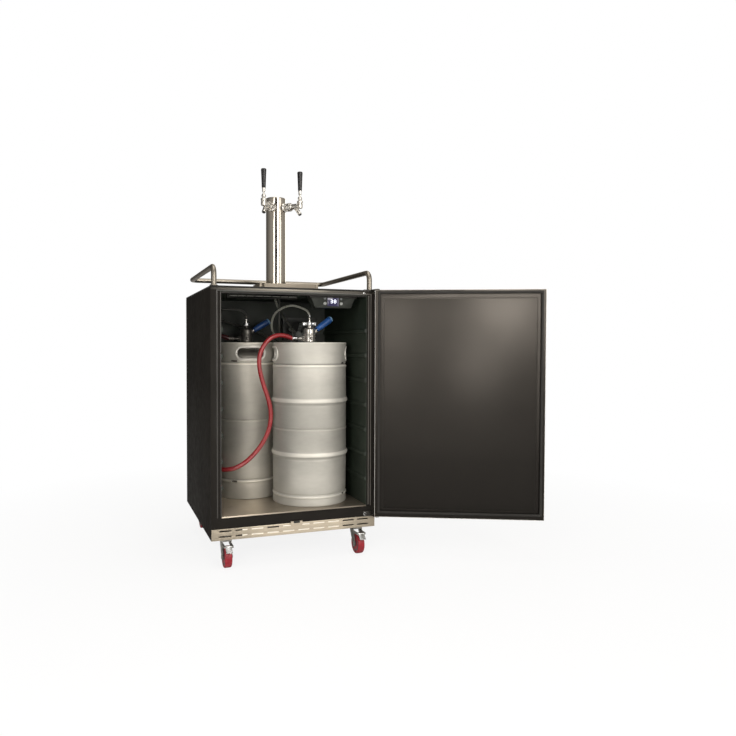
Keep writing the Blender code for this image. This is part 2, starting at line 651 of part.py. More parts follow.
def cabinet(root, looks):
    """Wrapper, rear panel, insulation, liner, floor plate and worktop."""
    shell = piece("cabinet_shell", block((-HALF_WIDTH, 0, UNDERSIDE), (HALF_WIDTH, CABINET_DEPTH, SHELL_TOP)),
                  looks["black_steel"], root)
    inside = HALF_WIDTH - SHEET
    back = CABINET_DEPTH + OVERRUN
    cut(shell, block((-inside, SHEET, UNDERSIDE + DECK_HEIGHT), (inside, back, SHELL_TOP - SHEET)))
    cut(shell, block((-inside, -OVERRUN, UNDERSIDE - OVERRUN), (inside, back, UNDERSIDE + DECK_HEIGHT - SHEET)))
    deck_cut = UNDERSIDE + DECK_HEIGHT - SHEET - OVERRUN
    cut(shell, block((-inside, MACHINE_FRONT, deck_cut), (inside, back, deck_cut + SHEET + 2 * OVERRUN)))
    reach = HALF_OPENING + LINER_WALL + FIT_GAP
    low, high = CAVITY_FLOOR - LINER_WALL - FIT_GAP, CAVITY_CEILING + LINER_WALL + FIT_GAP
    cut(shell, block((-reach, -OVERRUN, low), (reach, SHEET + OVERRUN, high)))
    duct = rod(DUCT_RADIUS, 2 * SHEET + 2 * OVERRUN, DUCT_STEPS)
    cut(shell, duct, (0, TOWER_SETBACK, SHELL_TOP - 2 * SHEET - OVERRUN))

    rear = piece("rear_panel", block((-inside + FIT_GAP, CABINET_DEPTH - SHEET, UNDERSIDE),
                                     (inside - FIT_GAP, CABINET_DEPTH, SHELL_TOP - SHEET - FIT_GAP)),
                 looks["grey_steel"], root)
    slots = []
    for side in (-1, 1):
        for k in range(REAR_LOUVRES):
            z = UNDERSIDE + LOUVRE_FIRST + k * LOUVRE_PITCH
            left = side * LOUVRE_X - LOUVRE_LENGTH / 2
            slots.append(((left, CABINET_DEPTH - SHEET - OVERRUN, z),
                          (left + LOUVRE_LENGTH, back, z + LOUVRE_HEIGHT)))
    slots.append(((INLET_X - INLET_WIDTH / 2 - FIT_GAP, CABINET_DEPTH - SHEET - OVERRUN,
                   UNDERSIDE + INLET_HEIGHT - INLET_TALL / 2 - FIT_GAP),
                  (INLET_X + INLET_WIDTH / 2 + FIT_GAP, back, UNDERSIDE + INLET_HEIGHT + INLET_TALL / 2 + FIT_GAP)))
    cut(rear, blocks(slots))

    foam_in = inside - FIT_GAP
    foam_top = SHELL_TOP - SHEET - FIT_GAP
    foam = piece("insulation_foam", block((-foam_in, SHEET + FIT_GAP, UNDERSIDE + DECK_HEIGHT + FIT_GAP),
                                          (foam_in, CABINET_DEPTH - SHEET - FIT_GAP, foam_top)),
                 looks["foam"], root)
    cut(foam, block((-reach, -OVERRUN, low), (reach, LINER_DEPTH + LINER_WALL + FIT_GAP, high)))
    cut(foam, block((-HALF_WIDTH, MACHINE_FRONT, UNDERSIDE), (HALF_WIDTH, back, UNDERSIDE + MACHINE_HEIGHT)))
    cut(foam, rod(DUCT_RADIUS, SHELL_TOP - CAVITY_CEILING + 2 * OVERRUN, DUCT_STEPS),
        (0, TOWER_SETBACK, CAVITY_CEILING - OVERRUN))

    outer = HALF_OPENING + LINER_WALL
    liner = piece("inner_liner", block((-outer, -RIM_PROUD, CAVITY_FLOOR - LINER_WALL),
                                       (outer, LINER_DEPTH + LINER_WALL, CAVITY_CEILING + LINER_WALL)),
                  looks["liner"], root)
    right = []
    for k in range(LEDGE_COUNT):
        z = CAVITY_FLOOR + LEDGE_FIRST + k * LEDGE_PITCH
        tip = HALF_OPENING - LEDGE_REACH
        right += [(HALF_OPENING, z - LEDGE_HEIGHT / 2 - LEDGE_SLOPE), (tip, z - LEDGE_HEIGHT / 2),
                  (tip, z + LEDGE_HEIGHT / 2 - LEDGE_SLOPE), (HALF_OPENING, z + LEDGE_HEIGHT / 2)]
    cavity = [(-HALF_OPENING, CAVITY_FLOOR), (HALF_OPENING, CAVITY_FLOOR), *right,
              (HALF_OPENING, CAVITY_CEILING), (-HALF_OPENING, CAVITY_CEILING)]
    cavity += [(-x, z) for x, z in reversed(right)]
    front = -RIM_PROUD - OVERRUN
    cut(liner, prism(cavity, LINER_DEPTH - front), (0, front, 0))
    cut(liner, rod(DUCT_RADIUS, LINER_WALL + 2 * OVERRUN, DUCT_STEPS), (0, TOWER_SETBACK, CAVITY_CEILING - OVERRUN))

    port = PIPE_RADIUS + FIT_GAP
    for holed, start, end in ((liner, LINER_DEPTH, LINER_DEPTH + LINER_WALL),
                              (foam, LINER_DEPTH + LINER_WALL, MACHINE_FRONT),
                              (rear, CABINET_DEPTH - SHEET, CABINET_DEPTH)):
        cut(holed, rod(port, end - start + 2 * OVERRUN, PIN_STEPS), (PORT_X, end + OVERRUN, UNDERSIDE + PORT_LOW),
            (math.pi / 2, 0, 0))

    plate_low = CAVITY_FLOOR + FIT_GAP
    side = HALF_OPENING - FIT_GAP
    lip = -RIM_PROUD - FIT_GAP
    plate = piece("floor_plate", block((-side, lip - FLOOR_PLATE, plate_low),
                                       (side, LINER_DEPTH - FIT_GAP, plate_low + FLOOR_PLATE)),
                  looks["stainless"], root)
    join(plate, block((-side, lip - FLOOR_PLATE, plate_low + FLOOR_PLATE - FLOOR_LIP),
                      (side, lip, plate_low + FLOOR_PLATE / 2)))

    top = piece("worktop", block((-HALF_WIDTH, 0, SHELL_TOP + FIT_GAP), (HALF_WIDTH, CABINET_DEPTH, WORKTOP),
                                 WORKTOP_BEVEL), looks["black_steel"], root)
    cut(top, rod(DUCT_RADIUS, WORKTOP_THICKNESS + 2 * OVERRUN, DUCT_STEPS),
        (0, TOWER_SETBACK, SHELL_TOP - OVERRUN))


def base(root, looks):
    """Base pan with its caster bosses, front grille, catch, compressor, condenser and mains inlet."""
    inside = HALF_WIDTH - SHEET - FIT_GAP
    pan = piece("base_pan", block((-inside, PAN_INSET, UNDERSIDE),
                                  (inside, CABINET_DEPTH - SHEET - FIT_GAP, UNDERSIDE + SHEET)),
                looks["grey_steel"], root)
    for x, y in caster_places():
        join(pan, rod(BOSS_RADIUS, BOSS_HEIGHT - SHEET / 2, PIN_STEPS), (x, y, UNDERSIDE + SHEET / 2))
        cut(pan, rod(FORK_STEM_RADIUS + STEM_CLEARANCE, BOSS_HEIGHT + 2 * OVERRUN, PIN_STEPS),
            (x, y, UNDERSIDE - OVERRUN))

    grille_top = UNDERSIDE + DECK_HEIGHT - GRILLE_LIFT
    front = -GRILLE_THICKNESS - FIT_GAP
    grille = piece("front_grille", block((-GRILLE_WIDTH / 2, front, UNDERSIDE + GRILLE_LIFT),
                                         (GRILLE_WIDTH / 2, -FIT_GAP, grille_top)), looks["stainless"], root)
    slot = stadium(SLOT_LENGTH, SLOT_HEIGHT, 2)
    for row_share in GRILLE_ROW_SHARES:
        for k in range(GRILLE_SLOTS):
            x = (k - (GRILLE_SLOTS - 1) / 2) * GRILLE_PITCH
            cut(grille, prism(slot, GRILLE_THICKNESS + 2 * OVERRUN), (x, front - OVERRUN, UNDERSIDE + row_share * DECK_HEIGHT))

    catch_front = front - FIT_GAP - CATCH_THICKNESS
    catch = piece("door_catch", block((-CATCH_WIDTH / 2, catch_front, grille_top - CATCH_DROP),
                                      (CATCH_WIDTH / 2, front - FIT_GAP, grille_top + CATCH_RISE)),
                  looks["dark_metal"], root)
    join(catch, block((-CATCH_WIDTH / 2, front - FIT_GAP - OVERRUN, grille_top + FIT_GAP),
                      (CATCH_WIDTH / 2, -FIT_GAP, grille_top + CATCH_RISE)))

    middle = (MACHINE_FRONT + CABINET_DEPTH - SHEET) / 2
    floor = UNDERSIDE + SHEET + FIT_GAP
    pump = turned(((0, 0), (COMPRESSOR_FOOT_RADIUS, 0), (COMPRESSOR_FOOT_RADIUS, COMPRESSOR_FOOT_HEIGHT),
                   (COMPRESSOR_RADIUS - COMPRESSOR_DOME / 2, COMPRESSOR_FOOT_HEIGHT),
                   (COMPRESSOR_RADIUS, COMPRESSOR_FOOT_HEIGHT + COMPRESSOR_DOME),
                   (COMPRESSOR_RADIUS, COMPRESSOR_HEIGHT - COMPRESSOR_DOME),
                   (COMPRESSOR_RADIUS - COMPRESSOR_DOME / 2, COMPRESSOR_HEIGHT - COMPRESSOR_DOME / 3),
                   (0, COMPRESSOR_HEIGHT)), DUCT_STEPS)
    piece("compressor", pump, looks["black_steel"], root, (COMPRESSOR_X, middle, floor))

    low = Vector((CONDENSER_X - CONDENSER_WIDTH / 2, middle - CONDENSER_DEPTH / 2, floor))
    high = low + Vector((CONDENSER_WIDTH, CONDENSER_DEPTH, CONDENSER_HEIGHT))
    coil = piece("condenser", block(low, high), looks["dark_metal"], root)
    gaps = []
    z = low.z + CONDENSER_FIN
    while z + CONDENSER_GAP < high.z:
        gaps.append(((low.x - OVERRUN, low.y - OVERRUN, z),
                     (high.x + OVERRUN, middle - CONDENSER_WEB / 2, z + CONDENSER_GAP)))
        gaps.append(((low.x - OVERRUN, middle + CONDENSER_WEB / 2, z),
                     (high.x + OVERRUN, high.y + OVERRUN, z + CONDENSER_GAP)))
        z += CONDENSER_GAP + CONDENSER_FIN
    cut(coil, blocks(gaps))

    inlet_low = (INLET_X - INLET_WIDTH / 2, CABINET_DEPTH - INLET_DEPTH, UNDERSIDE + INLET_HEIGHT - INLET_TALL / 2)
    inlet_high = (INLET_X + INLET_WIDTH / 2, CABINET_DEPTH + INLET_PROUD, UNDERSIDE + INLET_HEIGHT + INLET_TALL / 2)
    inlet = piece("mains_inlet", block(inlet_low, inlet_high), looks["black_plastic"], root)
    cut(inlet, block((INLET_X - INLET_WIDTH / 3, CABINET_DEPTH - INLET_DEPTH / 2, inlet_low[2] + INLET_TALL / 5),
                     (INLET_X + INLET_WIDTH / 3, inlet_high[1] + OVERRUN, inlet_high[2] - INLET_TALL / 5)))


def controls(root, looks):
    """Control panel with its window and two buttons, the ceiling vent strip and the fan on the back wall."""
    top = CAVITY_CEILING - FIT_GAP
    drop = CONTROL_DROP
    outline = ((-CONTROL_TOP_WIDTH / 2, 0), (CONTROL_TOP_WIDTH / 2, 0), (CONTROL_BOTTOM_WIDTH / 2, -drop),
               (-CONTROL_BOTTOM_WIDTH / 2, -drop))
    housing = piece("control_housing", prism(outline, CONTROL_TOP_DEPTH), looks["black_plastic"], root,
                    (CONTROL_X, CONTROL_FRONT, top))
    slope = math.atan2(CONTROL_TOP_DEPTH - CONTROL_BOTTOM_DEPTH, drop)
    wedge = block((-CONTROL_TOP_WIDTH, 0, -2 * drop), (CONTROL_TOP_WIDTH, CONTROL_TOP_DEPTH, drop))
    cut(housing, wedge, (CONTROL_X, CONTROL_FRONT + CONTROL_TOP_DEPTH, top), (-slope, 0, 0))
    window_z = top - drop / 2
    pocket_x = WINDOW_WIDTH / 2 + FIT_GAP
    pocket_z = WINDOW_HEIGHT / 2 + FIT_GAP
    cut(housing, block((-pocket_x, -OVERRUN, -pocket_z), (pocket_x, WINDOW_THICKNESS, pocket_z)),
        (CONTROL_X, CONTROL_FRONT, window_z))
    piece("display_window", block((-WINDOW_WIDTH / 2, -WINDOW_SINK, -WINDOW_HEIGHT / 2),
                                  (WINDOW_WIDTH / 2, WINDOW_THICKNESS - FIT_GAP, WINDOW_HEIGHT / 2)),
          looks["window"], root, (CONTROL_X, CONTROL_FRONT, window_z))
    flat = (math.pi / 2, 0, 0)
    for name, side in (("button_left", -1), ("button_right", 1)):
        place = (CONTROL_X + side * BUTTON_SPREAD / 2, CONTROL_FRONT + BUTTON_LENGTH, top - BUTTON_HEIGHT)
        bore = rod(BUTTON_RADIUS + FIT_GAP, 2 * BUTTON_LENGTH + OVERRUN, BUTTON_STEPS)
        cut(housing, bore, (place[0], place[1] + FIT_GAP + BUTTON_PROUD, place[2]), flat)
        knob = turned(((0, 0), (BUTTON_RADIUS, 0), (BUTTON_RADIUS, BUTTON_LENGTH + BUTTON_PROUD - SHEET / 2),
                       (BUTTON_RADIUS - SHEET / 2, BUTTON_LENGTH + BUTTON_PROUD), (0, BUTTON_LENGTH + BUTTON_PROUD)),
                      BUTTON_STEPS)
        piece(name, knob, looks["silver"], root, place, flat)

    strip = piece("vent_strip", block((VENT_LEFT, VENT_FRONT, top - VENT_DROP),
                                      (VENT_RIGHT, VENT_FRONT + VENT_DEPTH, top)), looks["grey_plastic"], root)
    pitch = (VENT_RIGHT - VENT_LEFT - VENT_BAR) / VENT_SLOTS
    middle = top - VENT_DROP + VENT_SLOT_RISE
    cut(strip, blocks([((VENT_LEFT + VENT_BAR + k * pitch, VENT_FRONT - OVERRUN, middle - VENT_SLOT_HEIGHT / 2),
                        (VENT_LEFT + (k + 1) * pitch, VENT_FRONT + VENT_DEPTH + OVERRUN,
                         middle + VENT_SLOT_HEIGHT / 2)) for k in range(VENT_SLOTS)]))

    wall = LINER_DEPTH - FIT_GAP
    fan_z = CAVITY_CEILING - FAN_DROP
    well_back = wall - FAN_BOX_DEPTH + FAN_WELL_DEPTH
    box = piece("fan_housing", block((FAN_X - FAN_BOX / 2, wall - FAN_BOX_DEPTH, fan_z - FAN_BOX / 2),
                                     (FAN_X + FAN_BOX / 2, wall, fan_z + FAN_BOX / 2)),
                looks["black_plastic"], root)
    cut(box, rod(FAN_WELL_RADIUS, FAN_WELL_DEPTH + OVERRUN, DUCT_STEPS), (FAN_X, well_back, fan_z), flat)
    join(box, rod(FAN_BOSS_RADIUS, FAN_BOSS_LENGTH + OVERRUN, BUTTON_STEPS), (FAN_X, well_back + OVERRUN, fan_z), flat)
    join(box, rod(FAN_SHAFT_RADIUS, FAN_SHAFT_LENGTH + OVERRUN, PIN_STEPS), (FAN_X, well_back + OVERRUN, fan_z), flat)
    hub_back = well_back - FAN_BOSS_LENGTH - FIT_GAP
    axis = empty("fan_axis", (FAN_X, hub_back, fan_z), root, flat)
    rotor = piece("fan_rotor", rod(FAN_HUB_RADIUS, FAN_HUB_LENGTH, BUTTON_STEPS), looks["grey_plastic"], axis)
    blade_from = FAN_HUB_RADIUS - OVERRUN
    blade = block((blade_from, -FAN_BLADE_CHORD / 2, -FAN_BLADE_THICKNESS / 2),
                  (FAN_TIP_RADIUS, FAN_BLADE_CHORD / 2, FAN_BLADE_THICKNESS / 2))
    for k in range(FAN_BLADES):
        spin = Matrix.Rotation(2 * math.pi * k / FAN_BLADES, 4, "Z") @ Matrix.Rotation(FAN_BLADE_PITCH, 4, "X")
        join(rotor, blade, (0, 0, FAN_HUB_LENGTH / 2), spin.to_euler())
    cut(rotor, rod(FAN_SHAFT_RADIUS + FIT_GAP, FAN_HUB_LENGTH + 2 * OVERRUN, PIN_STEPS), (0, 0, -OVERRUN))


def gas_manifold(root, looks):
    """A block with two barbs inside the cavity and one pipe through the back wall."""
    wall = LINER_DEPTH - FIT_GAP
    low, high = UNDERSIDE + PORT_LOW, UNDERSIDE + PORT_HIGH
    body = piece("gas_manifold", block((PORT_X - PORT_BLOCK_WIDTH / 2, wall - PORT_BLOCK_DEPTH, low - PORT_MARGIN),
                                       (PORT_X + PORT_BLOCK_WIDTH / 2, wall, high + PORT_MARGIN)),
                 looks["chrome"], root)
    back = CABINET_DEPTH + PIPE_PROUD
    flat = (math.pi / 2, 0, 0)
    join(body, rod(PIPE_RADIUS, back - wall + OVERRUN, PIN_STEPS), (PORT_X, back, low), flat)
    for z in (low, high):
        join(body, rod(BARB_RADIUS, BARB_LENGTH + OVERRUN, PIN_STEPS),
             (PORT_X, wall - PORT_BLOCK_DEPTH + OVERRUN, z), flat)


def hinge_brackets(root, looks, pivot):
    """Two plates on the front face, each carrying the pin that the door turns on."""
    for name, low, height, arm, up in (
        ("hinge_bracket_lower", UNDERSIDE + HINGE_LEG_LOW, HINGE_LEG_TALL,
         UNDERSIDE + DOOR_BOTTOM - HINGE_ARM_LIFT - HINGE_PLATE, 1),
        ("hinge_bracket_upper", UNDERSIDE + DOOR_TOP + HINGE_ARM_LIFT + HINGE_PLATE - HINGE_LEG_SHORT,
         HINGE_LEG_SHORT, UNDERSIDE + DOOR_TOP + HINGE_ARM_LIFT, -1),
    ):
        leg_front = -FIT_GAP - HINGE_PLATE
        bracket = piece(name, block((HINGE_LEG_LEFT, leg_front, low), (HINGE_LEG_RIGHT, -FIT_GAP, low + height)),
                        looks["dark_metal"], root)
        tip = -HINGE_ARM_REACH
        middle = (HINGE_ARM_LEFT + HINGE_ARM_RIGHT) / 2
        outline = ((HINGE_ARM_LEFT, -leg_front - OVERRUN / 2), (HINGE_ARM_RIGHT, -leg_front - OVERRUN / 2),
                   (HINGE_ARM_RIGHT, -pivot.y), (middle + PIN_COLLAR_RADIUS, -tip),
                   (middle - PIN_COLLAR_RADIUS, -tip), (HINGE_ARM_LEFT, -pivot.y))
        join(bracket, prism(outline, HINGE_PLATE), (0, 0, arm), (math.pi / 2, 0, 0))
        base_z = arm + HINGE_PLATE if up > 0 else arm
        turn = (0, 0, 0) if up > 0 else (math.pi, 0, 0)
        pin = turned(((0, -HINGE_PLATE / 2), (PIN_COLLAR_RADIUS, -HINGE_PLATE / 2),
                      (PIN_COLLAR_RADIUS, PIN_COLLAR_HEIGHT), (PIN_RADIUS, PIN_COLLAR_HEIGHT),
                      (PIN_RADIUS, HINGE_ARM_LIFT + PIN_DEPTH), (0, HINGE_ARM_LIFT + PIN_DEPTH)), PIN_STEPS)
        join(bracket, pin, (pivot.x, pivot.y, base_z), turn)
        screw_z = low + height / 2
        join(bracket, rod(SCREW_RADIUS, SCREW_HEIGHT + HINGE_PLATE / 2, PIN_STEPS),
             (SCREW_X, leg_front + HINGE_PLATE / 2, screw_z), (math.pi / 2, 0, 0))


def door(root, looks, pivot):
    """Skin, foam, inner panel, gasket and bar handle, modelled closed and turned open about the pins."""
    hinge = empty("door_hinge", (pivot.x, pivot.y, UNDERSIDE), root, (0, 0, DOOR_OPEN_ANGLE))
    left, right = HINGE_INSET - DOOR_WIDTH, HINGE_INSET
    inner, outer = HINGE_DEPTH, HINGE_DEPTH - DOOR_THICKNESS
    skin = piece("door_skin", block((left, outer, DOOR_BOTTOM), (right, inner, DOOR_TOP)), looks["stainless"], hinge)
    wall = DOOR_SKIN
    cut(skin, block((left + wall, outer + wall, DOOR_BOTTOM + wall), (right - wall, inner + OVERRUN, DOOR_TOP - wall)))
    edge = wall + FIT_GAP
    foam = piece("door_foam", block((left + edge, outer + edge, DOOR_BOTTOM + edge),
                                    (right - edge, inner - DOOR_PANEL - FIT_GAP, DOOR_TOP - edge)),
                 looks["foam"], hinge)
    panel = piece("door_panel", block((left + edge, inner - DOOR_PANEL, DOOR_BOTTOM + edge),
                                      (right - edge, inner, DOOR_TOP - edge)), looks["black_panel"], hinge)
    middle_x, middle_z = (left + right) / 2, (DOOR_BOTTOM + DOOR_TOP) / 2
    tall = DOOR_TOP - DOOR_BOTTOM
    groove = frame_band(DOOR_WIDTH - 2 * PANEL_GROOVE_INSET, tall - 2 * PANEL_GROOVE_INSET, PANEL_GROOVE_WIDTH,
                        PANEL_GROOVE_DEPTH + OVERRUN)
    cut(panel, groove, (middle_x, inner - PANEL_GROOVE_DEPTH, middle_z))
    gasket_low, gasket_high = DOOR_BOTTOM + GASKET_INSET_LOW, DOOR_TOP - GASKET_INSET_HIGH
    piece("door_gasket", frame_band(DOOR_WIDTH - 2 * GASKET_INSET, gasket_high - gasket_low, GASKET_WIDTH,
                                    GASKET_DEPTH), looks["rubber"], hinge,
          (middle_x, inner + FIT_GAP, (gasket_low + gasket_high) / 2))
    hole = rod(PIN_RADIUS + FIT_GAP, PIN_DEPTH + FIT_GAP + OVERRUN, PIN_STEPS)
    for target in (skin, foam):
        cut(target, hole, (0, 0, DOOR_BOTTOM - OVERRUN))
        cut(target, hole, (0, 0, DOOR_TOP - PIN_DEPTH - FIT_GAP))

    bar_y = outer - FIT_GAP - HANDLE_STANDOFF
    bar_x = left + HANDLE_INSET
    bar = piece("door_handle", rod(HANDLE_RADIUS, HANDLE_LENGTH, HANDLE_STEPS), looks["stainless"], hinge,
                (bar_x, bar_y, HANDLE_MIDDLE - HANDLE_LENGTH / 2))
    for side in (-1, 1):
        leg_z = HANDLE_MIDDLE + side * (HANDLE_LENGTH / 2 - HANDLE_LEG_INSET)
        join(bar, rod(HANDLE_LEG_RADIUS, HANDLE_STANDOFF, PIN_STEPS), (bar_x, outer - FIT_GAP, leg_z),
             (math.pi / 2, 0, 0))


def guard_rail(root, looks):
    """One bent tube round three sides of the worktop, with a foot under each post and a rear support."""
    foot = WORKTOP + FIT_GAP
    top = WORKTOP + RAIL_HEIGHT
    start = foot + RAIL_FOOT_HEIGHT / 2
    corners = ((-RAIL_X, RAIL_FRONT, start), (-RAIL_X, RAIL_FRONT, top), (-RAIL_X, RAIL_BACK, top),
               (RAIL_X, RAIL_BACK, top), (RAIL_X, RAIL_FRONT, top), (RAIL_X, RAIL_FRONT, start))
    bends = (RAIL_POST_BEND, RAIL_CORNER_BEND, RAIL_CORNER_BEND, RAIL_POST_BEND)
    rail = piece("guard_rail", tube_mesh(bent(corners, bends, RAIL_BEND_STEPS), RAIL_RADIUS, 3),
                 looks["stainless"], root)
    for x, y in ((-RAIL_X, RAIL_FRONT), (RAIL_X, RAIL_FRONT)):
        join(rail, rod(RAIL_FOOT_RADIUS, RAIL_FOOT_HEIGHT, BUTTON_STEPS), (x, y, foot))
    post = turned(((0, 0), (RAIL_FOOT_RADIUS, 0), (RAIL_FOOT_RADIUS, RAIL_FOOT_HEIGHT),
                   (RAIL_RADIUS - OVERRUN, RAIL_FOOT_HEIGHT), (RAIL_RADIUS - OVERRUN, RAIL_HEIGHT - OVERRUN),
                   (0, RAIL_HEIGHT - OVERRUN)),
                  BUTTON_STEPS)
    join(rail, post, (0, RAIL_BACK, foot))


def tower(root, looks):
    """Base flange, column and cap on the worktop, with a shank and a faucet towards each side."""
    foot = WORKTOP + FIT_GAP
    inner = DUCT_RADIUS
    flange = turned(((inner, 0), (BASE_RADIUS, 0), (BASE_RADIUS, BASE_THICKNESS / 2),
                     (BASE_RADIUS - BASE_THICKNESS / 2, BASE_THICKNESS), (BASE_COLLAR_RADIUS, BASE_THICKNESS),
                     (BASE_COLLAR_RADIUS, BASE_COLLAR_HEIGHT), (COLUMN_RADIUS + FIT_GAP, BASE_COLLAR_HEIGHT),
                     (COLUMN_RADIUS + FIT_GAP, BASE_THICKNESS), (inner, BASE_THICKNESS)), TOWER_STEPS)
    piece("tower_base", flange, looks["polished"], root, (0, TOWER_SETBACK, foot))
    bottom = foot + BASE_THICKNESS + FIT_GAP
    cap_bottom = WORKTOP + TOWER_HEIGHT - CAP_HEIGHT
    hollow = COLUMN_RADIUS - COLUMN_WALL
    length = cap_bottom - FIT_GAP - bottom
    column = piece("tower_column", turned(((hollow, 0), (COLUMN_RADIUS, 0), (COLUMN_RADIUS, length),
                                           (hollow, length)), TOWER_STEPS), looks["polished"], root,
                   (0, TOWER_SETBACK, bottom))
    plug = hollow - FIT_GAP
    cap = turned(((0, -CAP_PLUG), (plug, -CAP_PLUG), (plug, 0), (COLUMN_RADIUS, 0),
                  (COLUMN_RADIUS, CAP_HEIGHT - OVERRUN), (COLUMN_RADIUS - OVERRUN, CAP_HEIGHT), (0, CAP_HEIGHT)),
                 TOWER_STEPS)
    piece("tower_cap", cap, looks["polished"], root, (0, TOWER_SETBACK, cap_bottom))
    shank_z = WORKTOP + SHANK_HEIGHT
    for side, word in ((-1, "left"), (1, "right")):
        out = heading(side)
        along = out.to_track_quat("Z", "Y").to_euler()
        centre = Vector((0, TOWER_SETBACK, shank_z))
        cut(column, rod(SHANK_RADIUS + FIT_GAP, COLUMN_RADIUS, BUTTON_STEPS), centre + out * COLUMN_RADIUS / 2, along)
        tail = ELBOW_REACH - TAIL_RADIUS
        surface = COLUMN_RADIUS + FIT_GAP
        bar = turned(((0, tail), (TAIL_RADIUS, tail), (TAIL_RADIUS, tail + TAIL_LENGTH),
                      (SHANK_RADIUS, tail + TAIL_LENGTH), (SHANK_RADIUS, surface), (FLANGE_RADIUS, surface),
                      (FLANGE_RADIUS, surface + FLANGE_LENGTH / 2), (SHANK_RADIUS, surface + FLANGE_LENGTH),
                      (SHANK_RADIUS, NUT_START), (NUT_RADIUS, NUT_START), (NUT_RADIUS, NUT_END), (0, NUT_END)),
                     TAP_STEPS)
        shank = piece("shank_" + word, bar, looks["chrome"], root, centre, along)
        join(shank, rod(ELBOW_RADIUS, ELBOW_DROP, PIN_STEPS, -ELBOW_DROP), centre + out * ELBOW_REACH)
        faucet(root, looks, word, centre, out, along)


def faucet(root, looks, word, centre, out, along):
    """Faucet body with its bonnet and spout, and the lever that tilts outwards in the bonnet."""
    start = NUT_END + FIT_GAP
    body = turned(((0, start), (FAUCET_RADIUS, start), (FAUCET_RADIUS, (start + FAUCET_BODY_END) / 2),
                   (FAUCET_RADIUS - SPOUT_RADIUS / 3, FAUCET_BODY_END), (BONNET_RADIUS / 2, BONNET_REACH),
                   (0, BONNET_REACH)), TAP_STEPS)
    tap = piece("faucet_" + word, body, looks["chrome"], root, centre, along)
    bonnet = turned(((0, BONNET_BOTTOM), (BONNET_NECK_RADIUS, BONNET_BOTTOM), (BONNET_RADIUS, BONNET_BOTTOM / 2),
                     (BONNET_RADIUS, BONNET_TOP / 3), (BONNET_NECK_RADIUS, BONNET_TOP * 2 / 3),
                     (BONNET_NECK_RADIUS, BONNET_TOP), (0, BONNET_TOP)), TAP_STEPS)
    join(tap, bonnet, centre + out * BONNET_REACH)
    spout = [centre + out * BONNET_REACH * along_share + Vector((0, 0, FAUCET_RADIUS * drop_share))
             for along_share, drop_share in SPOUT_SHARES]
    join(tap, tube_mesh(spout, SPOUT_RADIUS, 3))

    ball = BONNET_TOP + FIT_GAP + LEVER_BALL_RADIUS
    hinge = empty("tap_pivot_" + word, centre + out * BONNET_REACH + Vector((0, 0, ball)), root)
    sphere = [(LEVER_BALL_RADIUS * math.cos(a), LEVER_BALL_RADIUS * math.sin(a))
              for a in (math.radians(step) for step in (-90, -60, -30, 0, 30))]
    lever = turned(((0, sphere[0][1]), *sphere[1:], (LEVER_NECK_RADIUS, LEVER_BALL_RADIUS),
                    (LEVER_NECK_RADIUS, LEVER_NECK_TOP), (FERRULE_RADIUS, LEVER_NECK_TOP),
                    (FERRULE_RADIUS, FERRULE_TOP), (0, FERRULE_TOP)), TAP_STEPS)
    piece("tap_lever_" + word, lever, looks["chrome"], hinge)
    low, high = FERRULE_TOP + FIT_GAP, FERRULE_TOP + FIT_GAP + TAP_GRIP_LENGTH
    grip = turned(((0, low), (TAP_GRIP_LOW_RADIUS, low), (TAP_GRIP_HIGH_RADIUS, high - TAP_GRIP_HIGH_RADIUS / 3),
                   (TAP_GRIP_HIGH_RADIUS * 2 / 3, high), (0, high)), TAP_STEPS)
    piece("tap_handle_" + word, grip, looks["black_plastic"], hinge)


def drip_tray(root, looks):
    """A shallow tray in front of the tower."""
    back = TRAY_FRONT + TRAY_DEPTH
    foot = WORKTOP + FIT_GAP
    half = TRAY_WIDTH / 2
    bm = bmesh.new()
    centre = Matrix.Translation((0, (TRAY_FRONT + back) / 2, foot + TRAY_HEIGHT / 2))
    bmesh.ops.create_cube(bm, size=1.0, matrix=centre @ Matrix.Diagonal((TRAY_WIDTH, TRAY_DEPTH, TRAY_HEIGHT, 1.0)))
    upright = [e for e in bm.edges if abs(e.verts[0].co.z - e.verts[1].co.z) > TRAY_HEIGHT / 2]
    bmesh.ops.bevel(bm, geom=upright, offset=TRAY_CORNER, segments=3, affect="EDGES")
    tray = piece("drip_tray", to_mesh(bm), looks["stainless"], root)
    cut(tray, block((-half + TRAY_RIM, TRAY_FRONT + TRAY_RIM, foot + TRAY_HEIGHT - TRAY_WELL),
                    (half - TRAY_RIM, back - TRAY_RIM, foot + TRAY_HEIGHT + OVERRUN)))


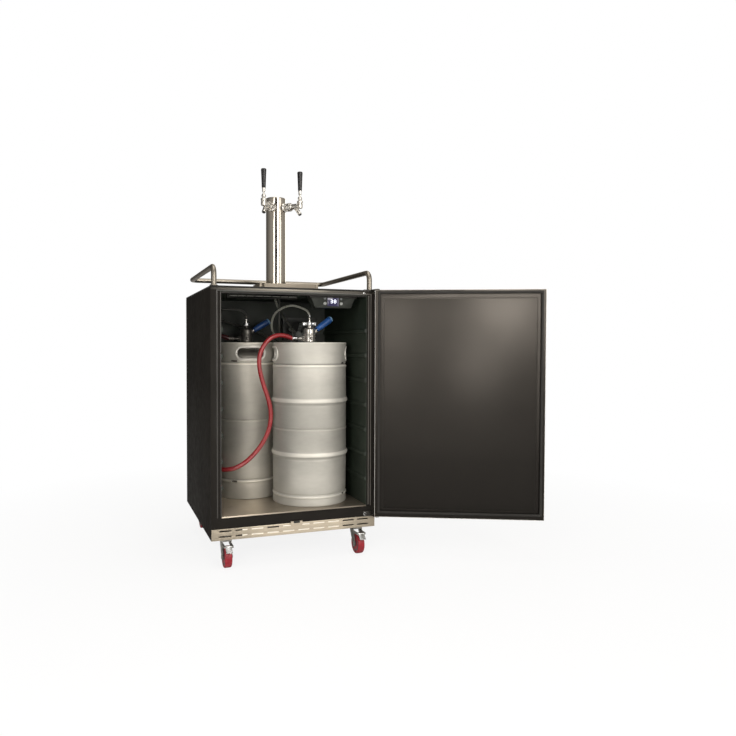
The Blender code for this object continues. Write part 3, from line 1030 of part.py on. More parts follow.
def keg_profile(keg):
    """The outer and the inner surface of a keg's steel, from the axis below to the axis above the bore."""
    r, rim, wall = keg["radius"], KEG_RIM_RADIUS, KEG_CHIME_WALL
    top, low = KEG_HEIGHT * keg["top_share"], KEG_HEIGHT * keg["bottom_share"]
    outer = [(0, wall * 6), (r * 0.7, wall * 8), (r - 2 * rim, wall * 12), (r - wall, wall * 10), (r - wall, rim)]
    outer += [(r - wall / 2, 0), (r, rim)]
    for z in (KEG_HEIGHT * share for share in keg["hoop_shares"]):
        outer += [(r, z - HOOP_WIDTH), (r + keg["hoop"], z - HOOP_WIDTH / 2), (r + keg["hoop"], z + HOOP_WIDTH / 2),
                  (r, z + HOOP_WIDTH)]
    outer += [(r, KEG_HEIGHT - rim * 2), (r + rim / 3, KEG_HEIGHT - rim), (r - wall / 2, KEG_HEIGHT),
              (r - wall - rim / 2, KEG_HEIGHT - rim), (r - wall, KEG_HEIGHT - rim * 2), (r - wall, top + wall)]
    dome = KEG_NECK_HEIGHT - wall * 4 - top
    shoulder, slope, crown = (top + dome * share for share in KEG_DOME_SHARES)
    outer += [(r - wall * 3, shoulder), (r * 0.68, slope), (r * 0.42, crown)]
    outer += [(KEG_NECK_RADIUS, KEG_NECK_HEIGHT - wall * 4), (KEG_NECK_RADIUS, KEG_NECK_HEIGHT)]
    thin = KEG_WALL
    outer += [(KEG_BORE_RADIUS, KEG_NECK_HEIGHT), (KEG_BORE_RADIUS, KEG_NECK_HEIGHT - wall * 4 - thin * 3)]
    inner = [(r * 0.42, crown - thin), (r * 0.68, slope - thin), (r - wall * 3 - thin, shoulder - thin),
             (r - wall - thin, top - thin)]
    inner += [(r - wall - thin, low + thin), (r - 2 * rim - thin, wall * 12 + thin), (0, wall * 6 + thin)]
    return outer + inner


def keg(name, sizes, root, looks):
    """A hollow steel keg with two hand holes in its top chime."""
    place = (sizes["x"], sizes["y"], KEG_FLOOR)
    barrel = piece(name, turned(keg_profile(sizes), KEG_STEPS), looks["keg_steel"], root, place)
    hole = prism(stadium(HAND_HOLE_WIDTH, HAND_HOLE_HEIGHT, 5), sizes["radius"] / 2)
    for flip in (0, math.pi):
        turn = sizes["turn"] + flip
        middle = Matrix.Rotation(turn, 3, "Z") @ Vector((0, -sizes["radius"] * 1.2, 0))
        cut(barrel, hole, Vector(place) + middle + Vector((0, 0, KEG_HEIGHT - HAND_HOLE_DROP)), (0, 0, turn))


def coupler(name, lever_name, sizes, root, looks):
    """A lever coupler on a keg's neck: body, gas port, wing bar, ears with a pin, and its lever."""
    foot = KEG_FLOOR + KEG_NECK_HEIGHT + FIT_GAP
    place = Vector((sizes["x"], sizes["y"], foot))
    bore = KEG_BORE_RADIUS - FIT_GAP
    profile = ((0, -COUPLER_PROBE_DROP), (bore, -COUPLER_PROBE_DROP), (bore, 0), (COUPLER_BASE_RADIUS, 0),
               (COUPLER_BASE_RADIUS, COUPLER_LUG_HEIGHT), (COUPLER_BODY_RADIUS, COUPLER_BASE_HEIGHT),
               (COUPLER_BODY_RADIUS, COUPLER_BODY_TOP - COUPLER_LUG_HEIGHT / 2),
               (COUPLER_BODY_RADIUS - COUPLER_LUG_HEIGHT / 2, COUPLER_BODY_TOP),
               (COUPLER_STEM_RADIUS, COUPLER_BODY_TOP),
               (COUPLER_STEM_RADIUS, COUPLER_WING_HEIGHT + COUPLER_WING_SECTION),
               (COUPLER_NIPPLE_RADIUS, COUPLER_WING_HEIGHT + COUPLER_WING_SECTION),
               (COUPLER_NIPPLE_RADIUS, COUPLER_TOP), (0, COUPLER_TOP))
    body = piece(name, turned(profile, COUPLER_STEPS), looks["chrome"], root, place)
    half = COUPLER_WING_SECTION / 2
    wing = block((-COUPLER_WING_LENGTH / 2, -half, COUPLER_WING_HEIGHT - half),
                 (COUPLER_WING_LENGTH / 2, half, COUPLER_WING_HEIGHT + half))
    join(body, wing, place)
    port = turned(((0, COUPLER_BODY_RADIUS / 2), (GAS_NUT_RADIUS, COUPLER_BODY_RADIUS / 2),
                   (GAS_NUT_RADIUS, COUPLER_BODY_RADIUS + GAS_NUT_LENGTH),
                   (GAS_PORT_RADIUS, COUPLER_BODY_RADIUS + GAS_NUT_LENGTH), (GAS_PORT_RADIUS, GAS_PORT_REACH),
                   (0, GAS_PORT_REACH)), PIN_STEPS)
    join(body, port, place + Vector((0, 0, GAS_PORT_HEIGHT)), (0, -math.pi / 2, 0))
    pivot = place + Vector((LEVER_PIVOT_OUT, 0, LEVER_PIVOT_UP))
    flat = (math.pi / 2, 0, 0)
    eye_half = LEVER_EYE_WIDTH / 2
    ear = block((-LEVER_PIVOT_OUT + COUPLER_BODY_RADIUS / 2, eye_half + FIT_GAP, -LEVER_EAR_RADIUS),
                (LEVER_EAR_RADIUS, eye_half + FIT_GAP + LEVER_EAR_THICKNESS, LEVER_EAR_RADIUS))
    other = block((-LEVER_PIVOT_OUT + COUPLER_BODY_RADIUS / 2, -eye_half - FIT_GAP - LEVER_EAR_THICKNESS,
                   -LEVER_EAR_RADIUS), (LEVER_EAR_RADIUS, -eye_half - FIT_GAP, LEVER_EAR_RADIUS))
    join(body, ear, pivot)
    join(body, other, pivot)
    cut(body, block((-LEVER_SLOT, -eye_half - FIT_GAP, -LEVER_SLOT),
                    (2 * LEVER_SLOT, eye_half + FIT_GAP, LEVER_SLOT)), pivot)
    span = LEVER_EYE_WIDTH + 2 * FIT_GAP + LEVER_EAR_THICKNESS
    join(body, rod(LEVER_PIN_RADIUS, span, PIN_STEPS, -span / 2), pivot, flat)

    hinge = empty(lever_name + "_pivot", pivot, root, (0, -sizes["lever"], 0))
    eye = turned(((LEVER_PIN_RADIUS + FIT_GAP, -eye_half), (LEVER_EYE_RADIUS, -eye_half),
                  (LEVER_EYE_RADIUS, eye_half), (LEVER_PIN_RADIUS + FIT_GAP, eye_half)), PIN_STEPS)
    lever = piece(lever_name, eye, looks["blue_plastic"], hinge, (0, 0, 0), flat)
    end = LEVER_ARM_LENGTH + LEVER_GRIP_LENGTH
    arm_from = (LEVER_PIN_RADIUS + LEVER_EYE_RADIUS) / 2
    grip = turned(((0, arm_from), (LEVER_ARM_RADIUS, arm_from), (LEVER_ARM_RADIUS, LEVER_ARM_LENGTH),
                   (LEVER_GRIP_RADIUS, LEVER_ARM_LENGTH), (LEVER_GRIP_RADIUS, end - LEVER_ARM_RADIUS),
                   (LEVER_GRIP_RADIUS * 0.8, end), (0, end)), COUPLER_STEPS)
    join(lever, grip, (0, 0, 0), (0, math.pi / 2, 0), hinge)


def caster_places():
    return [(side * FORK_X, y) for y in (FORK_FRONT, FORK_REAR) for side in (-1, 1)]


def casters(root, looks):
    """Four swivel casters: a fork on its stem, a wheel on its axle, and a brake pedal on each front one."""
    names = ("front_left", "front_right", "rear_left", "rear_right")
    for (x, y), word in zip(caster_places(), names):
        swivel = empty("swivel_" + word, (x, y, UNDERSIDE - FIT_GAP), root)
        drop = UNDERSIDE - FIT_GAP - AXLE_HEIGHT
        inner = WHEEL_WIDTH / 2 + FORK_SIDE_GAP
        reach = inner + FORK_PLATE
        crown = turned(((0, -FORK_CROWN_HEIGHT * 0.8), (FORK_CROWN_RADIUS * 0.9, -FORK_CROWN_HEIGHT * 0.8),
                        (FORK_CROWN_RADIUS, -FORK_CROWN_HEIGHT / 2), (FORK_CROWN_RADIUS, 0), (FORK_STEM_RADIUS, 0),
                        (FORK_STEM_RADIUS, BOSS_HEIGHT), (0, BOSS_HEIGHT)), BUTTON_STEPS)
        fork = piece("caster_fork_" + word, crown, looks["black_steel"], swivel)
        wide, narrow = FORK_CROWN_RADIUS * FORK_WIDE_SHARE, FORK_CROWN_RADIUS * FORK_NARROW_SHARE
        top = -FORK_CROWN_HEIGHT / 3
        leg = ((-wide, top), (-FORK_TRAIL - narrow, -drop), (-FORK_TRAIL - narrow / 2, -drop - narrow),
               (-FORK_TRAIL + narrow / 2, -drop - narrow), (-FORK_TRAIL + narrow, -drop), (wide, top))
        join(fork, prism(leg, 2 * reach), (reach, 0, 0), (0, 0, math.pi / 2))
        room = 2 * WHEEL_RADIUS
        cut(fork, block((-inner, -FORK_TRAIL - room, -drop - room), (inner, room, -FORK_CROWN_HEIGHT)))
        across = (0, math.pi / 2, 0)
        join(fork, turned(((0, -reach - AXLE_HEAD_LENGTH), (AXLE_HEAD_RADIUS, -reach - AXLE_HEAD_LENGTH),
                           (AXLE_HEAD_RADIUS, -reach + AXLE_HEAD_LENGTH / 2),
                           (AXLE_RADIUS, -reach + AXLE_HEAD_LENGTH / 2), (AXLE_RADIUS, reach - AXLE_HEAD_LENGTH / 2),
                           (AXLE_HEAD_RADIUS, reach - AXLE_HEAD_LENGTH / 2),
                           (AXLE_HEAD_RADIUS, reach + AXLE_HEAD_LENGTH), (0, reach + AXLE_HEAD_LENGTH)), PIN_STEPS),
             (0, -FORK_TRAIL, -drop), across)
        wheel_on(swivel, looks, word, drop)
        if word.startswith("front"):
            brake_on(swivel, looks, word, fork, drop)


def wheel_on(swivel, looks, word, drop):
    """A wheel with a soft tread, turned about the axle, with one flat of its rim straight down."""
    axle = empty("axle_" + word, (0, -FORK_TRAIL, -drop), swivel, (0, math.pi / 2, 0))
    half = WHEEL_WIDTH / 2
    bore = AXLE_RADIUS + AXLE_CLEARANCE
    dish = half - WHEEL_HUB_SINK
    profile = ((bore, -half), (AXLE_RADIUS * 2, -half), (WHEEL_HUB_RADIUS, -dish),
               (WHEEL_RADIUS - WHEEL_SHOULDER, -half), (WHEEL_RADIUS, -half + WHEEL_SHOULDER),
               (WHEEL_RADIUS, half - WHEEL_SHOULDER), (WHEEL_RADIUS - WHEEL_SHOULDER, half),
               (WHEEL_HUB_RADIUS, dish), (AXLE_RADIUS * 2, half), (bore, half))
    tyre = turned(profile, WHEEL_STEPS)
    tyre.transform(Matrix.Rotation(math.pi / WHEEL_STEPS, 4, "Z"))
    piece("caster_wheel_" + word, tyre, looks["tread"], axle)


def brake_on(swivel, looks, word, fork, drop):
    """A brake pedal hinged between two lugs in front of the fork."""
    y, z = -FORK_TRAIL - BRAKE_FORWARD, -drop + BRAKE_UP
    inner = BRAKE_WIDTH / 2 + FIT_GAP
    outer = WHEEL_WIDTH / 2 + FORK_SIDE_GAP + FORK_PLATE * 0.7
    lug = block((inner, y - BRAKE_PIVOT_RADIUS, z - BRAKE_PIVOT_RADIUS),
                (outer, 0, z + BRAKE_PIVOT_RADIUS))
    other = block((-outer, y - BRAKE_PIVOT_RADIUS, z - BRAKE_PIVOT_RADIUS),
                  (-inner, 0, z + BRAKE_PIVOT_RADIUS))
    join(fork, lug)
    join(fork, other)
    across = (0, math.pi / 2, 0)
    pin = PIN_RADIUS * 0.7
    span = BRAKE_WIDTH + 2 * FIT_GAP + FORK_PLATE
    join(fork, rod(pin, span, PIN_STEPS, -span / 2), (0, y, z), across)
    pivot = empty("brake_pivot_" + word, (0, y, z), swivel, (BRAKE_SLOPE, 0, 0))
    half = BRAKE_WIDTH / 2
    eye = turned(((pin + FIT_GAP, -half), (BRAKE_PIVOT_RADIUS, -half), (BRAKE_PIVOT_RADIUS, half),
                  (pin + FIT_GAP, half)), PIN_STEPS)
    pedal = piece("caster_brake_" + word, eye, looks["silver"], pivot, (0, 0, 0), across)
    join(pedal, block((-half, -BRAKE_LENGTH, -BRAKE_THICKNESS / 2),
                      (half, -pin - FIT_GAP - BRAKE_THICKNESS / 4, BRAKE_THICKNESS / 2)), parent=pivot)


def lifted_route(route, low):
    """A route on the cabinet's underside, raised with the kegs' necks: the more, the higher a point is above low."""
    rise = KEG_NECK_HEIGHT - ROUTE_NECK_HEIGHT
    span = ROUTE_TOP - low
    return [(x, y, UNDERSIDE + z + rise * min(1, max(0, (z - low) / span))) for x, y, z in route]


def hose(name, start, lifted, end, radius, step, material, root):
    """A hose as one smooth tube between two fittings."""
    data = tube_curve(name, smooth_route([start, *lifted, end], step), radius)
    data.materials.append(material)
    made = bpy.data.objects.new(name, data)
    bpy.context.collection.objects.link(made)
    made.parent = root


def hoses(root, looks):
    """Two gas hoses to the manifold and two beer lines up the tower."""
    neck = KEG_FLOOR + KEG_NECK_HEIGHT + FIT_GAP
    barb_y = LINER_DEPTH - FIT_GAP - PORT_BLOCK_DEPTH - BARB_LENGTH - FIT_GAP
    elbow_z = WORKTOP + SHANK_HEIGHT - ELBOW_DROP - FIT_GAP
    left, right = heading(-1) * ELBOW_REACH, heading(1) * ELBOW_REACH
    for word, sizes, gas_route, port, beer_route, elbow in (
        ("large", LARGE_KEG, LARGE_GAS_ROUTE, PORT_LOW, LARGE_BEER_ROUTE, left),
        ("slim", SLIM_KEG, SLIM_GAS_ROUTE, PORT_HIGH, SLIM_BEER_ROUTE, right),
    ):
        gas_start = (sizes["x"] - GAS_PORT_REACH - FIT_GAP, sizes["y"], neck + GAS_PORT_HEIGHT)
        gas_end = (PORT_X, barb_y, UNDERSIDE + port)
        hose("gas_hose_" + word, gas_start, lifted_route(gas_route, ROUTE_LOW), gas_end, HOSE_RADIUS, HOSE_STEP,
             looks["red_hose"], root)
        beer_start = (sizes["x"], sizes["y"], neck + COUPLER_TOP + FIT_GAP)
        beer_end = (elbow.x, TOWER_SETBACK + elbow.y, elbow_z)
        hose("beer_line_" + word, beer_start, lifted_route(beer_route, 0), beer_end, LINE_RADIUS, LINE_STEP,
             looks["clear_line"], root)


def centre_over_origin(root):
    """Moves the whole object so that the middle of its box stands over the origin."""
    bpy.context.view_layer.update()
    graph = bpy.context.evaluated_depsgraph_get()
    low, high = Vector((math.inf,) * 3), Vector((-math.inf,) * 3)
    for thing in bpy.context.scene.objects:
        if thing.type == "MESH" and not thing.hide_render:
            shown = thing.evaluated_get(graph)
            for vertex in shown.to_mesh().vertices:
                place = shown.matrix_world @ vertex.co
                low = Vector(map(min, low, place))
                high = Vector(map(max, high, place))
            shown.to_mesh_clear()
    root.location = (-(low.x + high.x) / 2, -(low.y + high.y) / 2, 0)
    bpy.context.view_layer.update()


def build():
    clear_scene()
    looks = {
        "black_steel": finish("black_steel", (0.020, 0.018, 0.017), 0.45, 0.3),
        "grey_steel": finish("grey_steel", (0.35, 0.35, 0.34), 0.5, 0.8),
        "dark_metal": finish("dark_metal", (0.05, 0.05, 0.05), 0.4, 0.8),
        "foam": finish("foam", (0.75, 0.65, 0.42), 0.9),
        "liner": finish("liner", (0.012, 0.014, 0.012), 0.35),
        "stainless": finish("stainless", (0.62, 0.58, 0.52), 0.32, 1.0),
        "polished": finish("polished", (0.66, 0.62, 0.56), 0.15, 1.0),
        "chrome": finish("chrome", (0.72, 0.70, 0.67), 0.12, 1.0),
        "keg_steel": finish("keg_steel", (0.60, 0.57, 0.53), 0.38, 1.0),
        "black_plastic": finish("black_plastic", (0.018, 0.019, 0.018), 0.35),
        "grey_plastic": finish("grey_plastic", (0.30, 0.31, 0.30), 0.45),
        "black_panel": finish("black_panel", (0.035, 0.033, 0.031), 0.32),
        "rubber": finish("rubber", (0.022, 0.021, 0.020), 0.6),
        "window": finish("window", (0.010, 0.012, 0.025), 0.12),
        "silver": finish("silver", (0.70, 0.71, 0.72), 0.25, 1.0),
        "blue_plastic": finish("blue_plastic", (0.030, 0.110, 0.330), 0.35),
        "red_hose": finish("red_hose", (0.420, 0.030, 0.030), 0.35),
        "clear_line": finish("clear_line", (0.45, 0.45, 0.42), 0.25),
        "tread": finish("tread", (0.380, 0.015, 0.030), 0.45),
    }
    root = empty("kegerator", (0, 0, 0))
    pivot = Vector((HALF_WIDTH - (CABINET_WIDTH - DOOR_WIDTH) / 2 - HINGE_INSET, -DOOR_GAP - HINGE_DEPTH, 0))
    cabinet(root, looks)
    base(root, looks)
    controls(root, looks)
    gas_manifold(root, looks)
    hinge_brackets(root, looks, pivot)
    door(root, looks, pivot)
    guard_rail(root, looks)
    tower(root, looks)
    drip_tray(root, looks)
    keg("keg_large", LARGE_KEG, root, looks)
    keg("keg_slim", SLIM_KEG, root, looks)
    coupler("coupler_large", "coupler_lever_large", LARGE_KEG, root, looks)
    coupler("coupler_slim", "coupler_lever_slim", SLIM_KEG, root, looks)
    casters(root, looks)
    hoses(root, looks)
    centre_over_origin(root)


build()
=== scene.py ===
import math

import bpy
from mathutils import Matrix, Vector


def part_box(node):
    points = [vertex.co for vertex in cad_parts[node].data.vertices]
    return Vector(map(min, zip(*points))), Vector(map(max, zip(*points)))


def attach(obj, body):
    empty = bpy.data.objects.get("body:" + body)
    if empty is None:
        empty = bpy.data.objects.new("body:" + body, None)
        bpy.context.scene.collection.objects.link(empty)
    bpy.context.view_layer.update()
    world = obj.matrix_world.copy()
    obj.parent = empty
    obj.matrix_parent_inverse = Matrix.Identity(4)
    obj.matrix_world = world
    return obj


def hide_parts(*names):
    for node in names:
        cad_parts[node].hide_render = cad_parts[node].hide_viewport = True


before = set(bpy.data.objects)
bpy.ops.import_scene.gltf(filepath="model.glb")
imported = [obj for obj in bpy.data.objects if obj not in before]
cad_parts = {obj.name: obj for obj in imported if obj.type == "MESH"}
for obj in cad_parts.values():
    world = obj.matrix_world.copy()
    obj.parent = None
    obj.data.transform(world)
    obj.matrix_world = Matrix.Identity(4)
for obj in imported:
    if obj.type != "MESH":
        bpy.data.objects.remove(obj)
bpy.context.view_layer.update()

UP = Vector((0, 0, 1))
ACROSS = Vector((1, 0, 0))
OUT = Vector((0, -1, 0))
MM = 0.001

# The cabinet's middle, front face and underside, from which its fittings are measured, and three heights.
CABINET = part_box("cabinet_shell")
MIDDLE_X = (CABINET[0].x + CABINET[1].x) / 2
FRONT_Y = CABINET[0].y
UNDERSIDE = CABINET[0].z
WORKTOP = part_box("worktop")[1].z
TAP_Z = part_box("tower_cap")[1].z - 0.04
AXLE_Z = 0.03718

# Where the grille's slots have pale sheet behind them: start, end, bottom and top from the grille's low corner.
GRILLE_BACKED = ((0.1065, 0.47, 0.006, 0.019), (0.1065, 0.188, 0.0245, 0.037), (0.243, 0.4605, 0.0245, 0.037))

# The kegs. Heights are above the foot, headings are degrees to the right of the front, and what each ring of a
# keg does to its outline is given in millimetres outward and upward. Drift is (height, level) of painted light and
# shade on the steel's colour, lighter or darker by height, and rings are (height, half width, level) of painted
# highlights (levels above 1) and painted shade lines (levels below 1) at the hoops, welds, seams and top rim.
KEG_TALL = 0.594
NECK_TALL = 0.58
KEG_WALL = 0.0032
KEG_HOOP = ((0, -24), (-1.2, -20.5), (-0.4, -16.5), (1, -13.5), (3.4, -10), (4.9, -6.2), (5.2, -3), (4.6, 0.2),
            (2.2, 4.6), (0.8, 8.2), (0, 12))
KEG_WELD = ((0, -10), (0.4, -6.6), (1.4, -4.4), (0.8, -2), (-1.8, 0.2), (-1.8, 1.8), (0, 3))
KEG_SEAM = ((-0.8, -13), (0.2, -10), (1.4, -6.8), (1, -4.2), (-2.8, -0.6), (-3.4, 0.8), (-3, 2.6), (-1.2, 6))
KEG_CHIME = ((-0.2, -9), (0.8, -6), (0.9, -3.2), (-0.4, -0.8), (-1.6, 0), (-3.8, -0.8), (-4.6, -3.4), (-4.2, -6),
             (-3.2, -8.5))
KEGS = {
    "large": {
        "radius": 0.1385, "hoops": (0.1885, 0.384), "weld": 0.28, "low_seam": 0.0395, "high_seam": 0.5126,
        "top": 0.5091, "holes": (80, 260), "drains": (47, -133), "colour": (0.56, 0.545, 0.5),
        "drift": ((0.0, 0.98), (0.075, 0.93), (0.15, 0.80), (0.23, 0.71), (0.33, 0.71), (0.40, 0.74), (0.46, 0.90),
                  (0.54, 0.98), (KEG_TALL, 1.02)),
        "rings": ((0.033, 0.0026, 1.45), (0.1865, 0.0066, 1.75), (0.2752, 0.0022, 1.25), (0.382, 0.0066, 1.72),
                  (0.5078, 0.0028, 1.5), (0.514, 0.0014, 0.6), (0.5925, 0.0014, 1.3)),
    },
    "slim": {
        "radius": 0.1165, "hoops": (), "weld": 0.3012, "low_seam": 0.0737, "high_seam": 0.518,
        "top": 0.512, "holes": (-3, 177), "drains": (-36, 144), "colour": (0.43, 0.41, 0.365),
        "drift": ((0.0, 1.0), (0.05, 1.10), (0.11, 1.15), (0.18, 1.0), (0.26, 0.82), (0.33, 0.92), (0.40, 1.0),
                  (0.45, 1.16), (0.50, 1.32), (KEG_TALL, 1.32)),
        "rings": ((0.0685, 0.0026, 1.6), (0.0745, 0.0012, 0.75), (0.2968, 0.002, 1.3), (0.5125, 0.0028, 1.75),
                  (0.519, 0.0012, 0.8), (0.5925, 0.0014, 1.6)),
    },
}

# Lamps: name, place, aim, width, height, power and, on the last of them, that reflections leave it out.
LAMP_COLOUR = (1.0, 0.965, 0.91)
LAMPS = (
    ("front", (0.35, -2.9, 2.0), (-0.1, 0, 0.7), 0.95, 1.4, 25),
    ("front_low", (-0.2, -2.65, 0.90), (0.1, -0.1, 0.8), 0.62, 0.50, 8),
    ("front_right", (1.9, -2.6, 1.2), (0.0, 0, 0.6), 1.0, 1.9, 10),
    ("front_left", (-2.1, -2.5, 1.4), (-0.2, 0, 0.7), 0.6, 1.8, 13),
    ("top", (-0.2, -0.5, 3.3), (-0.2, 0, 0.5), 2.0, 2.0, 24),
    ("behind", (1.6, 2.6, 2.0), (0, 0, 0.6), 1.6, 1.6, 13),
    ("fill", (-1.6, -2.3, 1.2), (-0.2, 0, 0.6), 1.0, 1.2, 26, False),
)

# The walls that reflections show: how bright they are by heading, in degrees to the right of straight in front.
WALLS = ((-180, 0.09), (-130, 0.12), (-70, 0.36), (-24, 0.42), (-21.5, 0.02), (1.5, 0.02), (4, 0.42), (44, 0.50),
         (80, 0.36), (122, 0.32), (132, 0.70), (174, 0.70), (180, 0.09))


# modelling

def put_down():
    """Nothing in hand: object mode and nothing selected."""
    if bpy.context.mode != "OBJECT":
        bpy.ops.object.mode_set(mode="OBJECT")
    bpy.ops.object.select_all(action="DESELECT")


def pick_up(piece):
    put_down()
    bpy.context.view_layer.objects.active = piece
    piece.select_set(True)


def started(name):
    """Names a new primitive and opens it, all selected."""
    piece = bpy.context.object
    piece.name = name
    piece.data.name = name
    bpy.ops.object.transform_apply(location=True, rotation=True, scale=True)
    bpy.ops.object.mode_set(mode="EDIT")
    bpy.ops.mesh.select_all(action="SELECT")
    return piece


def closed_up(piece, angle=32):
    """Merges doubles, points the faces out and shades smooth between hard edges."""
    pick_up(piece)
    bpy.ops.object.mode_set(mode="EDIT")
    bpy.ops.mesh.select_all(action="SELECT")
    bpy.ops.mesh.remove_doubles(threshold=0.000002)
    bpy.ops.mesh.normals_make_consistent(inside=False)
    bpy.ops.object.mode_set(mode="OBJECT")
    bpy.ops.object.shade_smooth_by_angle(angle=math.radians(angle))
    return piece


def set_at(piece, place, axis=UP, spin=0.0):
    """Turns a piece that was made standing on the origin to its axis, and moves it to its place."""
    pick_up(piece)
    turn = Vector(axis).to_track_quat("Z", "Y").to_matrix().to_4x4()
    piece.matrix_world = Matrix.Translation(Vector(place)) @ turn @ Matrix.Rotation(spin, 4, "Z")
    bpy.ops.object.transform_apply(location=True, rotation=True, scale=True)
    return piece


def select_where(piece, test, mode="FACE"):
    """Selects the faces, edges or corners whose middle and direction pass a test."""
    bpy.ops.object.mode_set(mode="OBJECT")
    mesh = piece.data
    for part in (mesh.polygons, mesh.edges, mesh.vertices):
        part.foreach_set("select", [False] * len(part))
    if mode == "FACE":
        for face in mesh.polygons:
            face.select = bool(test(face.center, face.normal))
    elif mode == "EDGE":
        for edge in mesh.edges:
            one, two = (mesh.vertices[k].co for k in edge.vertices)
            edge.select = bool(test((one + two) / 2, (two - one).normalized()))
    else:
        for corner in mesh.vertices:
            corner.select = bool(test(corner.co, corner.normal))
    bpy.ops.object.mode_set(mode="EDIT")
    bpy.ops.mesh.select_mode(type=mode)


def softened(points, reach):
    """A profile's points with their corners rounded over a reach."""
    soft = [points[0]]
    for k in range(1, len(points) - 1):
        before, here, after = points[k - 1], points[k], points[k + 1]
        room = min(reach, (before - here).length * 0.48, (after - here).length * 0.48)
        if room < 0.00002:
            soft.append(here)
            continue
        one = here + (before - here).normalized() * room
        two = here + (after - here).normalized() * room
        soft += [one, (one + two + here * 2) / 4, two]
    soft.append(points[-1])
    return soft


def turned(name, profile, steps=48, place=(0, 0, 0), axis=UP, spin=0.0, soft=0.0, angle=32, unit=MM):
    """A turned part: a disc drawn out along its profile of (radius, height) in millimetres, closed at both ends."""
    put_down()
    points = [Vector((radius * unit, height * unit)) for radius, height in profile]
    if soft:
        points = softened(points, soft)
    bpy.ops.mesh.primitive_circle_add(vertices=steps, radius=points[0].x, fill_type="NGON",
                                      location=(0, 0, points[0].y))
    piece = started(name)
    for here, there in zip(points, points[1:]):
        bpy.ops.mesh.extrude_region_move(TRANSFORM_OT_translate={"value": (0, 0, there.y - here.y)})
        share = there.x / here.x
        if abs(share - 1) > 0.000001:
            bpy.ops.transform.resize(value=(share, share, 1), center_override=(0, 0, there.y))
    closed_up(piece, angle)
    return set_at(piece, place, axis, spin)


def drawn(name, corners, bends, radius, sides=24, steps=8):
    """A round bar drawn from corner to corner, and spun round a bend at each."""
    put_down()
    corners = [Vector(c) for c in corners]
    ahead = (corners[1] - corners[0]).normalized()
    bpy.ops.mesh.primitive_circle_add(vertices=sides, radius=radius, fill_type="NGON", location=corners[0],
                                      rotation=ahead.to_track_quat("Z", "Y").to_euler())
    piece = started(name)
    here = corners[0]
    for before, corner, after, bend in zip(corners, corners[1:], corners[2:], bends):
        arriving, leaving = (corner - before).normalized(), (after - corner).normalized()
        angle = arriving.angle(leaving)
        start = corner - arriving * bend * math.tan(angle / 2)
        inward = (leaving - arriving * arriving.dot(leaving)).normalized()
        bpy.ops.mesh.extrude_region_move(TRANSFORM_OT_translate={"value": start - here})
        bpy.ops.mesh.spin(steps=steps, angle=-angle, center=start + inward * bend,
                          axis=arriving.cross(leaving).normalized())
        here = corner + leaving * bend * math.tan(angle / 2)
    bpy.ops.mesh.extrude_region_move(TRANSFORM_OT_translate={"value": corners[-1] - here})
    return closed_up(piece)


def block(name, low, high, ease=0.0, rounds=2):
    """A block between two corners with its edges eased."""
    put_down()
    low, high = Vector(low), Vector(high)
    bpy.ops.mesh.primitive_cube_add(size=1, location=(low + high) / 2, scale=high - low)
    piece = started(name)
    bpy.ops.object.mode_set(mode="OBJECT")
    if ease:
        eased(piece, ease, rounds)
    return piece


def eased(piece, width, rounds=2):
    """Rounds off a piece's hard edges."""
    pick_up(piece)
    step = piece.modifiers.new("ease", "BEVEL")
    step.width = width
    step.segments = rounds
    step.limit_method = "ANGLE"
    step.angle_limit = math.radians(30)
    bpy.ops.object.modifier_apply(modifier=step.name)
    bpy.ops.object.shade_smooth_by_angle(angle=math.radians(40))
    return piece


def carved(piece, tool):
    """Cuts a tool out of a piece and throws the tool away."""
    pick_up(piece)
    step = piece.modifiers.new("carve", "BOOLEAN")
    step.operation = "DIFFERENCE"
    step.solver = "EXACT"
    step.object = tool
    bpy.ops.object.modifier_apply(modifier=step.name)
    bpy.data.objects.remove(tool, do_unlink=True)
    bpy.ops.object.shade_smooth_by_angle(angle=math.radians(32))
    return piece


def joined(name, pieces):
    """Several shapes of one finish made one piece."""
    put_down()
    for piece in pieces:
        piece.select_set(True)
    bpy.context.view_layer.objects.active = pieces[0]
    bpy.ops.object.join()
    pieces[0].name = name
    pieces[0].data.name = name
    return pieces[0]


def copied(piece, name, shift=(0, 0, 0), turn=None):
    """A copy with its own mesh, moved and turned in the mesh."""
    other = bpy.data.objects.new(name, piece.data.copy())
    bpy.context.scene.collection.objects.link(other)
    other.data.name = name
    other.data.transform(Matrix.Translation(Vector(shift)) @ (turn or Matrix.Identity(4)))
    return other


def worked_copy(node, name, ease, rounds=2):
    """A copy of a solid, its loose triangles merged to whole faces and its edges eased."""
    piece = bpy.data.objects.new(name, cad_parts[node].data.copy())
    bpy.context.scene.collection.objects.link(piece)
    piece.data.name = name
    pick_up(piece)
    bpy.ops.object.mode_set(mode="EDIT")
    bpy.ops.mesh.select_all(action="SELECT")
    bpy.ops.mesh.remove_doubles(threshold=0.00001)
    bpy.ops.mesh.customdata_custom_splitnormals_clear()
    bpy.ops.mesh.dissolve_limited(angle_limit=math.radians(1))
    bpy.ops.object.mode_set(mode="OBJECT")
    return eased(piece, ease, rounds) if ease else piece


def dress(piece, finish, *nodes, body="cabinet", slot=None):
    """Gives a piece its finish and body, and hides the solids that it stands for."""
    piece.data.materials.clear()
    piece.data.materials.append(LOOKS[finish])
    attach(piece, body)
    if nodes:
        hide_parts(*nodes)
    return piece


def worked(node, name, finish, ease, rounds=2, body="cabinet", slot=None):
    """Puts a worked copy of a solid in its place."""
    return dress(worked_copy(node, name, ease, rounds), finish, node, body=body, slot=slot)


# finishes

